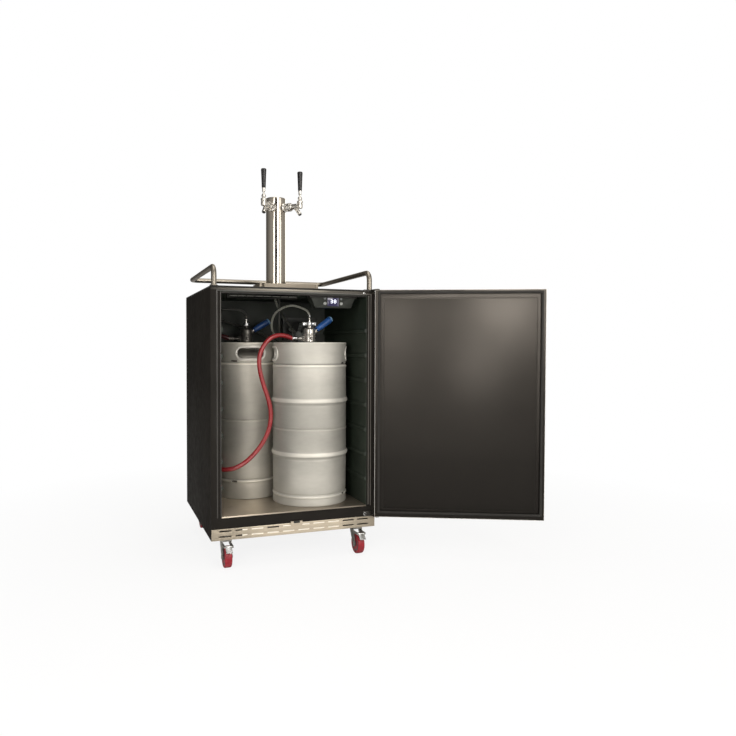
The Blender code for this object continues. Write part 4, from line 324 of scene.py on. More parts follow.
def wired(tree, kind, inputs, out=0, **settings):
    """Adds a shader node with its settings and its inputs, set or linked, and gives one of its outputs."""
    node = tree.nodes.new("ShaderNode" + kind)
    for name, given in settings.items():
        setattr(node, name, given)
    for name, given in inputs.items():
        if isinstance(given, bpy.types.NodeSocket):
            tree.links.new(given, node.inputs[name])
        else:
            node.inputs[name].default_value = given
    return node.outputs[out]


def ramped(tree, value, stops):
    """A colour ramp over a value, its stops given as (place, colour)."""
    made = wired(tree, "ValToRGB", {0: value})
    bar = made.node.color_ramp.elements
    while len(bar) < len(stops):
        bar.new(0.5)
    for stop, (place, colour) in zip(bar, stops):
        stop.position = place
        stop.color = (*colour, 1)
    return made


class Finish:
    """A surface made up step by step around its shader."""

    def __init__(self, name, colour, roughness, metallic=0.0):
        self.name = name
        self.material = bpy.data.materials.new(name)
        self.material.use_nodes = True
        self.tree = self.material.node_tree
        self.shader = self.tree.nodes["Principled BSDF"]
        self.colour = colour
        self.set(Base_Color=(*colour, 1), Roughness=roughness, Metallic=metallic)
        self.places = self.node("TexCoord", {}, "Object")

    def node(self, kind, inputs, out=0, **settings):
        return wired(self.tree, kind, inputs, out, **settings)

    def set(self, **sockets):
        """Sets or links sockets of the shader."""
        for name, given in sockets.items():
            socket = self.shader.inputs[name.replace("_", " ")]
            if isinstance(given, bpy.types.NodeSocket):
                self.tree.links.new(given, socket)
            else:
                socket.default_value = given
        return self

    def so_far(self, name):
        """What a socket of the shader is linked to."""
        return self.shader.inputs[name].links[0].from_socket

    def along(self, axis):
        return self.node("SeparateXYZ", {0: self.places}, axis)

    def noise(self, scale, stretch=(1, 1, 1), detail=4):
        laid = self.node("VectorMath", {0: self.places, 1: stretch}, operation="MULTIPLY")
        return self.node("TexNoise", {"Vector": laid, "Scale": scale, "Detail": detail, "Roughness": 0.55}, "Fac")

    def spread(self, value, low, high, start=0.3, end=0.7):
        return self.node("MapRange", {"Value": value, "From Min": start, "From Max": end, "To Min": low,
                                      "To Max": high}, "Result")

    def shades(self, scale, low, high, stretch=(1, 1, 1)):
        """Colour that drifts between a darker and a lighter share of itself."""
        stops = [(0.32, [c * low for c in self.colour]), (0.68, [min(1, c * high) for c in self.colour])]
        return self.set(Base_Color=ramped(self.tree, self.noise(scale, stretch), stops))

    def gloss(self, scale, low, high, stretch=(1, 1, 1)):
        """Roughness that drifts between two levels."""
        return self.set(Roughness=self.spread(self.noise(scale, stretch), low, high))

    def front_gloss(self, face_y, front, behind):
        """Smoother where the surface lies in front of a plane across the depth, rougher behind it."""
        share = self.spread(self.along("Y"), front, behind, face_y - 0.0005, face_y + 0.0005)
        drift = self.spread(self.noise(40), 0.88, 1.12)
        return self.set(Roughness=self.node("Math", {0: share, 1: drift}, operation="MULTIPLY"))

    def painted_light_bands(self, axis, stops):
        """Painted light and shade: colour that changes along one axis of the object, by shares of itself at places in
        metres.
        """
        start, end = stops[0][0], stops[-1][0]
        share = self.spread(self.along(axis), 0.0, 1.0, start, end)
        return self.set(Base_Color=ramped(self.tree, share, [
            ((place - start) / (end - start), [c * level for c in self.colour]) for place, level in stops]))

    def scaled(self, share):
        """The colour so far, brighter or duller by a share."""
        made = self.node("VectorMath", {0: self.so_far("Base Color"), "Scale": share}, operation="SCALE")
        return self.set(Base_Color=made)

    def painted_light_by_height(self, foot, tall, drift, rings):
        """Painted light and shade on steel: lighter or darker by height, with painted highlights and painted shade
        lines in rings, given as (height, half width, level).
        """
        fade = 0.0016
        painted_light_bands = [stop for middle, half, level in rings for stop in (
            (middle - half - fade, 1.0), (middle - half, level), (middle + half, level), (middle + half + fade, 1.0))]
        height = self.spread(self.along("Z"), 0.0, 1.0, foot, foot + tall)
        for stops in (drift, painted_light_bands):
            most = max(level for _, level in stops)
            shares = ramped(self.tree, height, [(min(1, place / tall), [level / most] * 3) for place, level in stops])
            made = self.node("VectorMath", {0: self.so_far("Base Color"), 1: shares}, operation="MULTIPLY")
            self.set(Base_Color=made).scaled(most)
        return self

    def inside(self, centre, radius, level):
        """Painted shade: darker steel within a radius of an upright axis, inside a keg's chime where shade falls."""
        away = self.node("VectorMath", {0: self.places, 1: centre}, operation="SUBTRACT")
        flat = self.node("VectorMath", {0: away, 1: (1, 1, 0)}, operation="MULTIPLY")
        reach = self.node("VectorMath", {0: flat}, "Value", operation="LENGTH")
        return self.scaled(self.spread(reach, level, 1.0, radius - 0.0012, radius))

    def relief(self, scale, depth, stretch=(1, 1, 1), detail=3, strength=1.0):
        """Fine bumps, on top of those that the surface has."""
        inputs = {"Strength": strength, "Distance": depth, "Height": self.noise(scale, stretch, detail)}
        if self.shader.inputs["Normal"].is_linked:
            inputs["Normal"] = self.so_far("Normal")
        return self.set(Normal=self.node("Bump", inputs))

    def brushed(self, low, high):
        """Fine lines of polish across the cabinet."""
        return self.gloss(120, low, high, (0.05, 1, 1)).relief(700, 0.00012, (0.02, 1, 1), strength=0.3)


def finishes():
    """Every finish by its name."""
    made = [
        Finish("black_paint", (0.013, 0.0118, 0.0106), 0.50).shades(6, 0.85, 1.2).gloss(40, 0.42, 0.56)
        .relief(900, 0.0002, detail=2, strength=0.5).set(Specular_IOR_Level=0.30),
        Finish("cabinet_paint", (0.017, 0.0154, 0.0138), 0.50).shades(6, 0.85, 1.2)
        .relief(900, 0.0002, detail=2, strength=0.15).set(Specular_IOR_Level=0.03)
        .front_gloss(FRONT_Y + 0.0015, 0.32, 0.66),
        Finish("vent_black", (0.008, 0.0082, 0.007), 0.60).shades(40, 0.85, 1.2).relief(900, 0.0001, strength=0.2)
        .set(Specular_IOR_Level=0.12),
        Finish("vent_fin", (0.062, 0.064, 0.056), 0.50).shades(40, 0.88, 1.12).relief(900, 0.0001, strength=0.2),
        # Painted reflection on the head trim: brightest in a band left of middle, darker towards both ends.
        Finish("head_trim", (0.20, 0.185, 0.155), 0.36, 0.45)
        .painted_light_bands(0, ((-0.57, 0.12), (-0.53, 0.38), (-0.42, 0.75), (-0.33, 1.0), (-0.18, 1.0), (-0.14, 0.5), (0.03, 0.28)))
        .gloss(120, 0.30, 0.44, (0.05, 1, 1)).relief(700, 0.0001, (0.02, 1, 1), strength=0.2),
        # Painted shade on the rims and flange lines: much darker at the left end.
        Finish("rim_plastic", (0.120, 0.112, 0.102), 0.40)
        .painted_light_bands(0, ((-0.556, 0.25), (-0.53, 0.30), (-0.44, 0.90), (-0.10, 0.90), (0.015, 0.80)))
        .gloss(60, 0.36, 0.44).relief(900, 0.0001, strength=0.2),
        Finish("pale_sheet", (0.92, 0.88, 0.79), 0.45).shades(30, 0.9, 1.08).relief(500, 0.0001, strength=0.2),
        # Painted light on the cavity floor: brighter towards the left, duller towards the right.
        Finish("floor_steel", (0.36, 0.315, 0.255), 0.30, 0.80)
        .painted_light_bands(0, ((-0.5347, 2.6), (-0.47, 2.4), (-0.40, 1.7), (-0.30, 1.0), (-0.15, 0.75), (-0.005, 0.75)))
        .brushed(0.27, 0.40),
        # Painted highlight on the grille and catch plate: brighter across the middle, duller at the ends.
        Finish("grille_steel", (0.44, 0.385, 0.305), 0.40, 0.70)
        .painted_light_bands(0, ((-0.5695, 0.85), (-0.46, 1.0), (-0.38, 1.35), (-0.12, 1.35), (-0.06, 0.95), (0.0295, 0.85)))
        .brushed(0.34, 0.48),
        Finish("tray_steel", (0.235, 0.205, 0.165), 0.46, 0.75).shades(10, 0.88, 1.1).brushed(0.36, 0.50),
        Finish("cast_nickel", (0.70, 0.675, 0.63), 0.22, 0.84).shades(60, 0.82, 1.06).gloss(90, 0.17, 0.29)
        .relief(400, 0.00015, strength=0.2),
        # A darker copy of the coupler nickel: painted shade on the slim keg's coupler and gas sleeves.
        Finish("shaded_nickel", (0.150, 0.142, 0.128), 0.28, 0.80).shades(60, 0.75, 1.15).gloss(90, 0.26, 0.44)
        .relief(400, 0.00015, strength=0.25),
        Finish("handle_gloss", (0.009, 0.009, 0.010), 0.20).shades(30, 0.9, 1.1).gloss(60, 0.17, 0.24)
        .relief(300, 0.0001, strength=0.1),
        Finish("zinc_sheet", (0.36, 0.36, 0.35), 0.45, 0.9).shades(28, 0.93, 1.05).gloss(60, 0.40, 0.48)
        .relief(60, 0.0002, strength=0.1),
        Finish("liner_moulding", (0.013, 0.0178, 0.0128), 0.45).shades(8, 0.8, 1.25).gloss(12, 0.38, 0.54)
        .relief(350, 0.0002, detail=2, strength=0.35).set(Specular_IOR_Level=0.38),
        Finish("rigid_foam", (0.75, 0.65, 0.42), 0.9).shades(30, 0.85, 1.08).relief(260, 0.0006, strength=0.8),
        Finish("brushed_steel", (0.62, 0.58, 0.52), 0.30, 1.0).shades(6, 0.9, 1.06).brushed(0.24, 0.38),
        Finish("door_steel", (0.60, 0.565, 0.515), 0.33, 1.0).shades(3, 0.97, 1.03, (1, 1, 0.1))
        .gloss(160, 0.30, 0.37, (1, 1, 0.03)).relief(900, 0.00005, (1, 1, 0.02), strength=0.12),
        Finish("polished_steel", (0.66, 0.61, 0.54), 0.12, 1.0).shades(5, 0.95, 1.04).gloss(30, 0.10, 0.16)
        .relief(500, 0.00008, (1, 1, 0.03), strength=0.15),
        Finish("rail_steel", (0.330, 0.300, 0.255), 0.33, 1.0).shades(10, 0.9, 1.08).gloss(80, 0.29, 0.39)
        .relief(600, 0.0001, strength=0.12),
        Finish("chrome_plate", (0.76, 0.74, 0.70), 0.10, 1.0).shades(30, 0.94, 1.04).gloss(60, 0.08, 0.15),
        Finish("keg_lip", (0.72, 0.70, 0.65), 0.34, 0.40).shades(40, 0.88, 1.06).gloss(60, 0.30, 0.40),
        Finish("fork_zinc", (0.30, 0.295, 0.28), 0.34, 0.9).shades(50, 0.75, 1.15).gloss(80, 0.26, 0.44),
        Finish("dark_plate", (0.05, 0.048, 0.045), 0.35, 0.85).shades(50, 0.8, 1.25).gloss(80, 0.28, 0.45),
        Finish("bright_zinc", (0.70, 0.71, 0.72), 0.24, 1.0).shades(70, 0.88, 1.08).gloss(90, 0.18, 0.34),
        Finish("black_plastic", (0.017, 0.019, 0.017), 0.36).shades(30, 0.85, 1.25).gloss(60, 0.30, 0.44)
        .relief(1500, 0.0001, strength=0.25),
        Finish("panel_plastic", (0.012, 0.014, 0.011), 0.42).shades(30, 0.85, 1.3).relief(1400, 0.0001, strength=0.3)
        .set(Specular_IOR_Level=0.26),
        Finish("grey_plastic", (0.20, 0.21, 0.20), 0.45).shades(40, 0.88, 1.12).relief(1200, 0.0001, strength=0.25),
        Finish("dim_lens", (0.110, 0.118, 0.122), 0.25).shades(60, 0.9, 1.1).gloss(80, 0.22, 0.30),
        Finish("pale_plastic", (0.24, 0.25, 0.24), 0.34).shades(60, 0.9, 1.06).gloss(80, 0.28, 0.40),
        # Painted reflection on the door lining: brighter towards the top of the door, darker at the bottom.
        Finish("door_lining", (0.05, 0.0455, 0.041), 0.36, 0.80)
        .painted_light_bands(2, ((0.14, 0.42), (0.35, 0.50), (0.55, 0.85), (0.72, 1.15), (0.88, 1.75), (0.97, 1.85)))
        .gloss(9, 0.34, 0.40).relief(420, 0.00012, detail=2, strength=0.35).set(Specular_IOR_Level=0.20),
        Finish("seal_rubber", (0.015, 0.0138, 0.0122), 0.55).shades(40, 0.85, 1.2).relief(700, 0.0001, strength=0.3)
        .set(Specular_IOR_Level=0.34),
        Finish("grip_cap", (0.16, 0.30, 0.46), 0.30).shades(60, 0.88, 1.1).gloss(90, 0.24, 0.38),
        # A darker copy of the red hose: painted shade on the slim keg's gas hose.
        Finish("red_hose_dark", (0.045, 0.006, 0.007), 0.34).shades(30, 0.82, 1.15).gloss(50, 0.28, 0.40),
        Finish("red_hose", (0.265, 0.018, 0.022), 0.30).shades(30, 0.82, 1.15).gloss(50, 0.24, 0.38)
        .set(Coat_Weight=0.6, Coat_Roughness=0.2),
        # A darker copy of the beer line: painted shade on the slim keg's line.
        Finish("beer_line_dark", (0.030, 0.031, 0.026), 0.34).shades(40, 0.85, 1.12).gloss(50, 0.28, 0.40),
        # Painted shade on the beer line: much darker where it runs towards the back of the cavity.
        Finish("beer_line", (0.29, 0.295, 0.255), 0.30)
        .painted_light_bands(1, ((-0.010, 1.0), (0.115, 1.0), (0.130, 0.25), (0.180, 0.25))).gloss(50, 0.24, 0.36)
        .set(Transmission_Weight=0.25, IOR=1.45),
        Finish("red_tread", (0.270, 0.008, 0.018), 0.42).shades(60, 0.8, 1.15).gloss(90, 0.34, 0.48)
        .relief(500, 0.0002, strength=0.3),
        Finish("wheel_core", (0.060, 0.062, 0.064), 0.45).shades(60, 0.8, 1.2).relief(600, 0.0001, strength=0.3),
        Finish("window_glass", (0.010, 0.009, 0.020), 0.12).shades(20, 0.9, 1.1)
        .set(Coat_Weight=0.4, Emission_Color=(0.055, 0.045, 0.20, 1), Emission_Strength=0.28),
        Finish("lit_digits", (0.85, 0.88, 1.0), 0.4).shades(50, 0.95, 1.03)
        .set(Emission_Color=(0.80, 0.85, 1.0, 1), Emission_Strength=1.6),
    ]
    # The second grip colour is a darker copy of the first: painted shade on the slim keg's lever.
    for name, colour in (("blue_grip", (0.022, 0.090, 0.300)), ("blue_grip_shaded", (0.012, 0.042, 0.140))):
        made.append(Finish(name, colour, 0.32).shades(50, 0.85, 1.2).gloss(80, 0.26, 0.40)
                    .relief(900, 0.0001, strength=0.25))
    # Each keg's steel: painted light and shade by height, painted highlights and shade lines in rings, and painted
    # shade inside the chime.
    for word, keg in KEGS.items():
        low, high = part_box("keg_" + word)
        made.append(Finish("keg_steel_" + word, keg["colour"], 0.54, 0.50).shades(9, 0.90, 1.07, (1, 1, 2.2))
                    .painted_light_by_height(low.z, KEG_TALL, keg["drift"], keg["rings"])
                    .inside((low + high) / 2, keg["radius"] - 0.0046, 0.45).gloss(26, 0.44, 0.56, (1, 1, 4))
                    .relief(1000, 0.00012, (0.05, 0.05, 1), strength=0.3)
                    .relief(14, 0.0006, (1, 1, 1.5), strength=0.15))
    return {finish.name: finish.material for finish in made}


# camera, light and floor

def camera():
    made = bpy.data.objects.new("camera", bpy.data.cameras.new("camera"))
    bpy.context.scene.collection.objects.link(made)
    yaw, pitch, roll = math.radians(19.575), math.radians(1.731), math.radians(0.105)
    turn = Matrix.Rotation(-yaw, 3, "Z") @ Matrix.Rotation(math.pi / 2 - pitch, 3, "X") @ Matrix.Rotation(roll, 3,
            "Z")
    made.rotation_euler = turn.to_euler()
    made.location = (-0.93802, -2.39677, 0.7633)
    made.data.lens = 32.446
    made.data.sensor_width = 36
    made.data.shift_x = 0.0516
    made.data.shift_y = -0.0029
    bpy.context.scene.camera = made


def softbox(name, place, aim, width, height, power, shows=True):
    """A soft lamp, which reflections may leave out."""
    data = bpy.data.lights.new(name, "AREA")
    data.shape = "RECTANGLE"
    data.size, data.size_y = width, height
    data.energy = power
    data.color = LAMP_COLOUR
    made = bpy.data.objects.new(name, data)
    bpy.context.scene.collection.objects.link(made)
    made.location = place
    made.rotation_euler = (Vector(aim) - Vector(place)).to_track_quat("-Z", "Y").to_euler()
    made.visible_glossy = shows


def studio_floor():
    """A pale floor that fades into the white surround."""
    put_down()
    bpy.ops.mesh.primitive_plane_add(size=14, location=(0, 0, 0))
    floor = started("studio_floor")
    bpy.ops.mesh.subdivide(number_cuts=3)
    put_down()
    pale = Finish("studio_white", (0.94, 0.94, 0.94), 0.9).shades(0.7, 0.99, 1.0)
    lit = pale.shader.outputs[0]
    fade = pale.spread(pale.node("VectorMath", {0: pale.places}, "Value", operation="LENGTH"), 0.86, 1.0, 0.7, 2.0)
    faded = pale.node("MixShader", {0: fade, 1: lit, 2: pale.node("Emission", {"Strength": 1.0})})
    shown = pale.node("MixShader", {0: pale.node("LightPath", {}, "Is Camera Ray"), 1: lit, 2: faded})
    pale.tree.links.new(shown, pale.tree.nodes["Material Output"].inputs["Surface"])
    floor.data.materials.append(pale.material)


def surround():
    """A plain level of light, walls that only reflections show, and white behind it all."""
    world = bpy.data.worlds.new("surround")
    bpy.context.scene.world = world
    world.use_nodes = True
    tree = world.node_tree
    light = tree.nodes["Background"]
    light.inputs["Color"].default_value = (0.80, 0.775, 0.74, 1)
    light.inputs["Strength"].default_value = 0.42
    apart = wired(tree, "SeparateXYZ", {0: wired(tree, "TexCoord", {}, "Generated")}).node
    forward = wired(tree, "Math", {0: apart.outputs["Y"], 1: -1.0}, operation="MULTIPLY")
    heading = wired(tree, "Math", {0: apart.outputs["X"], 1: forward}, operation="ARCTAN2")
    share = wired(tree, "MapRange", {"Value": heading, "From Min": -math.pi, "From Max": math.pi}, "Result")
    walls = ramped(tree, share, [((turn + 180) / 360, (level, level * 0.95, level * 0.87)) for turn, level in WALLS])
    room = wired(tree, "Background", {"Color": walls, "Strength": 1.0})
    white = wired(tree, "Background", {"Color": (1, 1, 1, 1)})
    seen = wired(tree, "LightPath", {}).node
    last = light.outputs[0]
    for ray, shown in (("Is Glossy Ray", room), ("Is Transmission Ray", white), ("Is Camera Ray", white)):
        last = wired(tree, "MixShader", {0: seen.outputs[ray], 1: last, 2: shown})
    tree.links.new(last, tree.nodes["World Output"].inputs["Surface"])


def studio():
    studio_floor()
    surround()
    for lamp in LAMPS:
        softbox(*lamp)
    bpy.context.scene.view_settings.view_transform = "Standard"


# hoses and lines

LARGE_GAS = ((0.032, 0.161, 0.6912), (0.0106, 0.157, 0.6985), (-0.0216, 0.15, 0.7025), (-0.0537, 0.145, 0.6925),
             (-0.079, 0.141, 0.668), (-0.095, 0.14, 0.6365), (-0.1, 0.14, 0.602), (-0.0951, 0.14, 0.563),
             (-0.0827, 0.14, 0.518), (-0.0677, 0.14, 0.474), (-0.059, 0.14, 0.439), (-0.056, 0.14, 0.4),
             (-0.064, 0.14, 0.354), (-0.0844, 0.142, 0.31), (-0.1134, 0.143, 0.2715), (-0.1523, 0.14, 0.238),
             (-0.193, 0.137, 0.2193), (-0.223, 0.149, 0.214), (-0.238, 0.177, 0.2125), (-0.2415, 0.215, 0.2125),
             (-0.2415, 0.295, 0.2135), (-0.24, 0.38, 0.215))
SLIM_GAS = ((-0.173, 0.334, 0.6912), (-0.193, 0.3365, 0.6985), (-0.211, 0.345, 0.6995), (-0.228, 0.362, 0.689),
            (-0.239, 0.382, 0.664), (-0.2418, 0.397, 0.628), (-0.2418, 0.401, 0.58), (-0.2418, 0.39, 0.5),
            (-0.2415, 0.365, 0.42), (-0.2415, 0.343, 0.36), (-0.2412, 0.337, 0.318), (-0.2408, 0.343, 0.286),
            (-0.2403, 0.36, 0.267), (-0.24, 0.383, 0.262))
LARGE_BEER = ((0.099, 0.161, 0.783), (0.0915, 0.1625, 0.795), (0.07, 0.17, 0.8065), (0.0503, 0.18, 0.8135),
              (0.0335, 0.192, 0.815), (0.0144, 0.21, 0.8095), (-0.0065, 0.23, 0.7954), (-0.0155, 0.25, 0.7785),
              (-0.0185, 0.268, 0.756), (-0.014, 0.285, 0.73), (0.0, 0.301, 0.705), (0.022, 0.318, 0.687),
              (0.048, 0.329, 0.679), (0.073, 0.335, 0.685), (0.087, 0.337, 0.704), (0.083, 0.333, 0.728),
              (0.068, 0.327, 0.748), (0.05, 0.318, 0.767), (0.032, 0.306, 0.788), (0.013, 0.289, 0.812),
              (-0.002, 0.274, 0.838), (-0.0085, 0.2665, 0.868), (-0.0098, 0.2644, 0.9), (-0.0098, 0.2644, 0.95),
              (-0.0098, 0.2644, 1.06))
SLIM_BEER = ((-0.1056, 0.334, 0.783), (-0.113, 0.3335, 0.7945), (-0.13, 0.3315, 0.8015), (-0.158, 0.33, 0.8045),
             (-0.189, 0.332, 0.8035), (-0.214, 0.343, 0.797), (-0.226, 0.364, 0.787), (-0.221, 0.388, 0.777),
             (-0.202, 0.406, 0.768), (-0.17, 0.415, 0.758), (-0.125, 0.418, 0.746), (-0.075, 0.415, 0.731),
             (-0.03, 0.406, 0.713), (0.008, 0.391, 0.691), (0.036, 0.368, 0.668), (0.046, 0.34, 0.654),
             (0.04, 0.313, 0.656), (0.0275, 0.295, 0.676), (0.017, 0.281, 0.704), (0.0115, 0.2705, 0.738),
             (0.01, 0.2655, 0.775), (0.0098, 0.2644, 0.82), (0.0098, 0.2644, 0.9), (0.0098, 0.2644, 1.06))


def smooth_route(points, step):
    """Points about one step apart on a smooth curve through the route's own points."""
    padded = [2 * points[0] - points[1], *points, 2 * points[-1] - points[-2]]
    route = [points[0]]
    for before, here, there, after in zip(padded, padded[1:], padded[2:], padded[3:]):
        pieces = max(1, round((there - here).length / step))
        for k in range(1, pieces + 1):
            t = k / pieces
            bend = 2 * before - 5 * here + 4 * there - after
            swing = 3 * here - before - 3 * there + after
            route.append((2 * here + (there - before) * t + bend * t ** 2 + swing * t ** 3) / 2)
    return route


def hose(name, node, start, route, end, diameter, finish, slot):
    """One hose from fitting to fitting as a round tube along a smooth route."""
    lifted = [Vector((x + MIDDLE_X, y + FRONT_Y, z + UNDERSIDE)) for x, y, z in route]
    points = smooth_route([Vector(start), *lifted, Vector(end)], 0.012)
    data = bpy.data.curves.new(name, "CURVE")
    data.dimensions = "3D"
    data.bevel_depth = diameter / 2
    data.bevel_resolution = 5
    data.use_fill_caps = True
    spline = data.splines.new("POLY")
    spline.points.add(len(points) - 1)
    for slot_point, point in zip(spline.points, points):
        slot_point.co = (*point, 1)
    spline.use_smooth = True
    made = bpy.data.objects.new(name, data)
    bpy.context.scene.collection.objects.link(made)
    dress(made, finish, node, slot=slot)


def hoses():
    """Two gas hoses with their crimped sleeves, and two beer lines with their tailpiece clamps."""
    sleeve = ((8.4, 0), (9.8, 0), (9.8, 4), (9.1, 5.5), (9.8, 7), (9.8, 11), (9.1, 12.5), (9.8, 14), (9.8, 18),
              (8.4, 18))
    # The slim keg's hoses and fittings take darker copies of the finishes: painted shade.
    for word, shade, metal, gas, gas_start, gas_end, beer, beer_start, beer_end in (
        ("large", "", "bright_zinc", LARGE_GAS, (-0.22132, -0.00437, 0.791), (-0.51002, 0.23403, 0.315),
         LARGE_BEER, (-0.17002, -0.00437, 0.8697), (-0.27987, 0.09902, TAP_Z - 0.0243)),
        ("slim", "_dark", "shaded_nickel", SLIM_GAS, (-0.42632, 0.16863, 0.791), (-0.51002, 0.23403, 0.362),
         SLIM_BEER, (-0.37502, 0.16863, 0.8697), (-0.26017, 0.09902, TAP_Z - 0.0243)),
    ):
        near = turned("gas_sleeve_" + word, sleeve, 32, gas_start, -ACROSS, soft=0.0006)
        far = turned("gas_far_sleeve_" + word, sleeve, 32, gas_end, OUT, soft=0.0006)
        clamp = turned("line_clamp_" + word, ((4.3, 3), (5.8, 3), (5.8, 10), (4.3, 10)), 28, beer_start, soft=0.0004)
        for fitting in (near, far, clamp):
            dress(fitting, metal)
        hose("gas_tube_" + word, "gas_hose_" + word, gas_start, gas, gas_end, 0.0166, "red_hose" + shade, "red_hose")
        hose("beer_tube_" + word, "beer_line_" + word, beer_start, beer, beer_end, 0.0085, "beer_line" + shade,
             "clear_line")
# kegs and couplers

def keg_outline(radius, marks, top):
    """A keg from the middle of its bottom, up the outside, over the top chime and in to the bore."""
    r, wall = radius, KEG_WALL
    line = [(0.012, wall * 6), (r * 0.45, wall * 6.6), (r * 0.75, wall * 8.2), (r * 0.9, wall * 10.5),
            (r - 2.2 * wall, wall * 12), (r - wall, wall * 10.6), (r - wall, 0.0042), (r - wall * 0.75, 0.001),
            (r - wall * 0.5, 0.0), (r - 0.0006, 0.0006), (r + 0.0002, 0.003), (r, 0.007)]
    for height, shape in (*marks, (KEG_TALL, KEG_CHIME)):
        line += [(r + out * MM, height + up * MM) for out, up in shape]
    line += [(r - wall, top + 0.008), (r - wall - 0.001, top + wall)]
    dome = NECK_TALL - wall * 4 - top
    line += [(r - wall * 2, top + dome * 0.18), (r - wall * 4, top + dome * 0.38)]
    line += [(r * share, top + dome * rise) for share, rise in ((0.84, 0.58), (0.68, 0.76), (0.52, 0.88), (0.4, 0.95))]
    line += [(0.0375, NECK_TALL - wall * 4), (0.035, NECK_TALL - wall * 3.6), (0.034, NECK_TALL - wall * 3),
             (0.034, NECK_TALL - 0.0012), (0.033, NECK_TALL), (0.0275, NECK_TALL), (0.026, NECK_TALL - 0.0012),
             (0.026, NECK_TALL - 0.018), (0.004, NECK_TALL - 0.018)]
    return line


def slot_shape(name, length, height, depth):
    """A cutter with round ends, lying along X and reaching along Y."""
    put_down()
    bpy.ops.mesh.primitive_circle_add(vertices=24, radius=height / 2, fill_type="NGON", location=(0, -depth / 2, 0),
                                      rotation=(math.pi / 2, 0, 0))
    cutter = started(name)
    reach = (length - height) / 2
    bpy.ops.object.mode_set(mode="OBJECT")
    for corner in cutter.data.vertices:
        if abs(corner.co.x) > 0.00001:
            corner.co.x += math.copysign(reach, corner.co.x)
    bpy.ops.object.mode_set(mode="EDIT")
    bpy.ops.mesh.select_all(action="SELECT")
    bpy.ops.mesh.extrude_region_move(TRANSFORM_OT_translate={"value": (0, depth, 0)})
    return closed_up(cutter)


def wrapped_lip(name, radius, length, height, thick, foot, heading, rise):
    """A rolled lip round a hole in a keg's wall."""
    reach = (length - height) / 2
    flat = []
    for side in (1, -1):
        for k in range(13):
            turn = -math.pi / 2 + math.pi * k / 12 + (0 if side > 0 else math.pi)
            flat.append((side * reach + height / 2 * math.cos(turn), height / 2 * math.sin(turn)))
    even = []
    for (x0, z0), (x1, z1) in zip(flat, flat[1:] + flat[:1]):
        cuts = max(1, round(math.hypot(x1 - x0, z1 - z0) / 0.006))
        even += [(x0 + (x1 - x0) * k / cuts, z0 + (z1 - z0) * k / cuts) for k in range(cuts)]
    data = bpy.data.curves.new(name, "CURVE")
    data.dimensions = "3D"
    data.bevel_depth = thick
    data.bevel_resolution = 3
    spline = data.splines.new("POLY")
    spline.points.add(len(even) - 1)
    spline.use_cyclic_u = True
    for slot_point, (x, z) in zip(spline.points, even):
        angle = heading + x / radius
        slot_point.co = (foot.x + radius * math.sin(angle), foot.y - radius * math.cos(angle), foot.z + rise + z, 1)
    lip = bpy.data.objects.new(name, data)
    bpy.context.scene.collection.objects.link(lip)
    pick_up(lip)
    bpy.ops.object.convert(target="MESH")
    return closed_up(bpy.context.object)


def keg_cut(barrel, spot, radius, rise, heading, *measures):
    """Cuts a slot with round ends through a keg's wall, at a height and a heading."""
    out = Vector((math.sin(heading), -math.cos(heading), 0))
    cutter = slot_shape("keg_cutter", *measures)
    cutter.data.transform(Matrix.Translation(spot + out * radius + UP * rise) @ Matrix.Rotation(heading, 4, "Z"))
    carved(barrel, cutter)


def kegs():
    for word, keg in KEGS.items():
        low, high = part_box("keg_" + word)
        spot = Vector(((low.x + high.x) / 2, (low.y + high.y) / 2, low.z))
        radius, hole_rise = keg["radius"], KEG_TALL - 0.041
        marks = sorted([(height, KEG_HOOP) for height in keg["hoops"]] + [
            (keg["weld"], KEG_WELD), (keg["low_seam"], KEG_SEAM), (keg["high_seam"], KEG_SEAM)])
        barrel = turned("barrel_" + word, keg_outline(radius, marks, keg["top"]), 96, spot, soft=0.001, angle=50,
                        unit=1)
        lips = []
        for heading in map(math.radians, keg["holes"]):
            keg_cut(barrel, spot, radius - 0.003, hole_rise, heading, 0.108, 0.042, 0.03)
            lips.append(wrapped_lip("hand_hole_lip", radius - 0.0022, 0.114, 0.048, 0.005, spot, heading, hole_rise))
        for heading in map(math.radians, keg["drains"]):
            for rise in (keg["high_seam"] + 0.0058, keg["low_seam"] - 0.0058):
                keg_cut(barrel, spot, radius - 0.001, rise, heading, 0.026, 0.0075, 0.03)
        dress(barrel, "keg_steel_" + word, "keg_" + word, slot="keg_steel")
        dress(joined("hand_hole_lips_" + word, lips), "keg_lip")


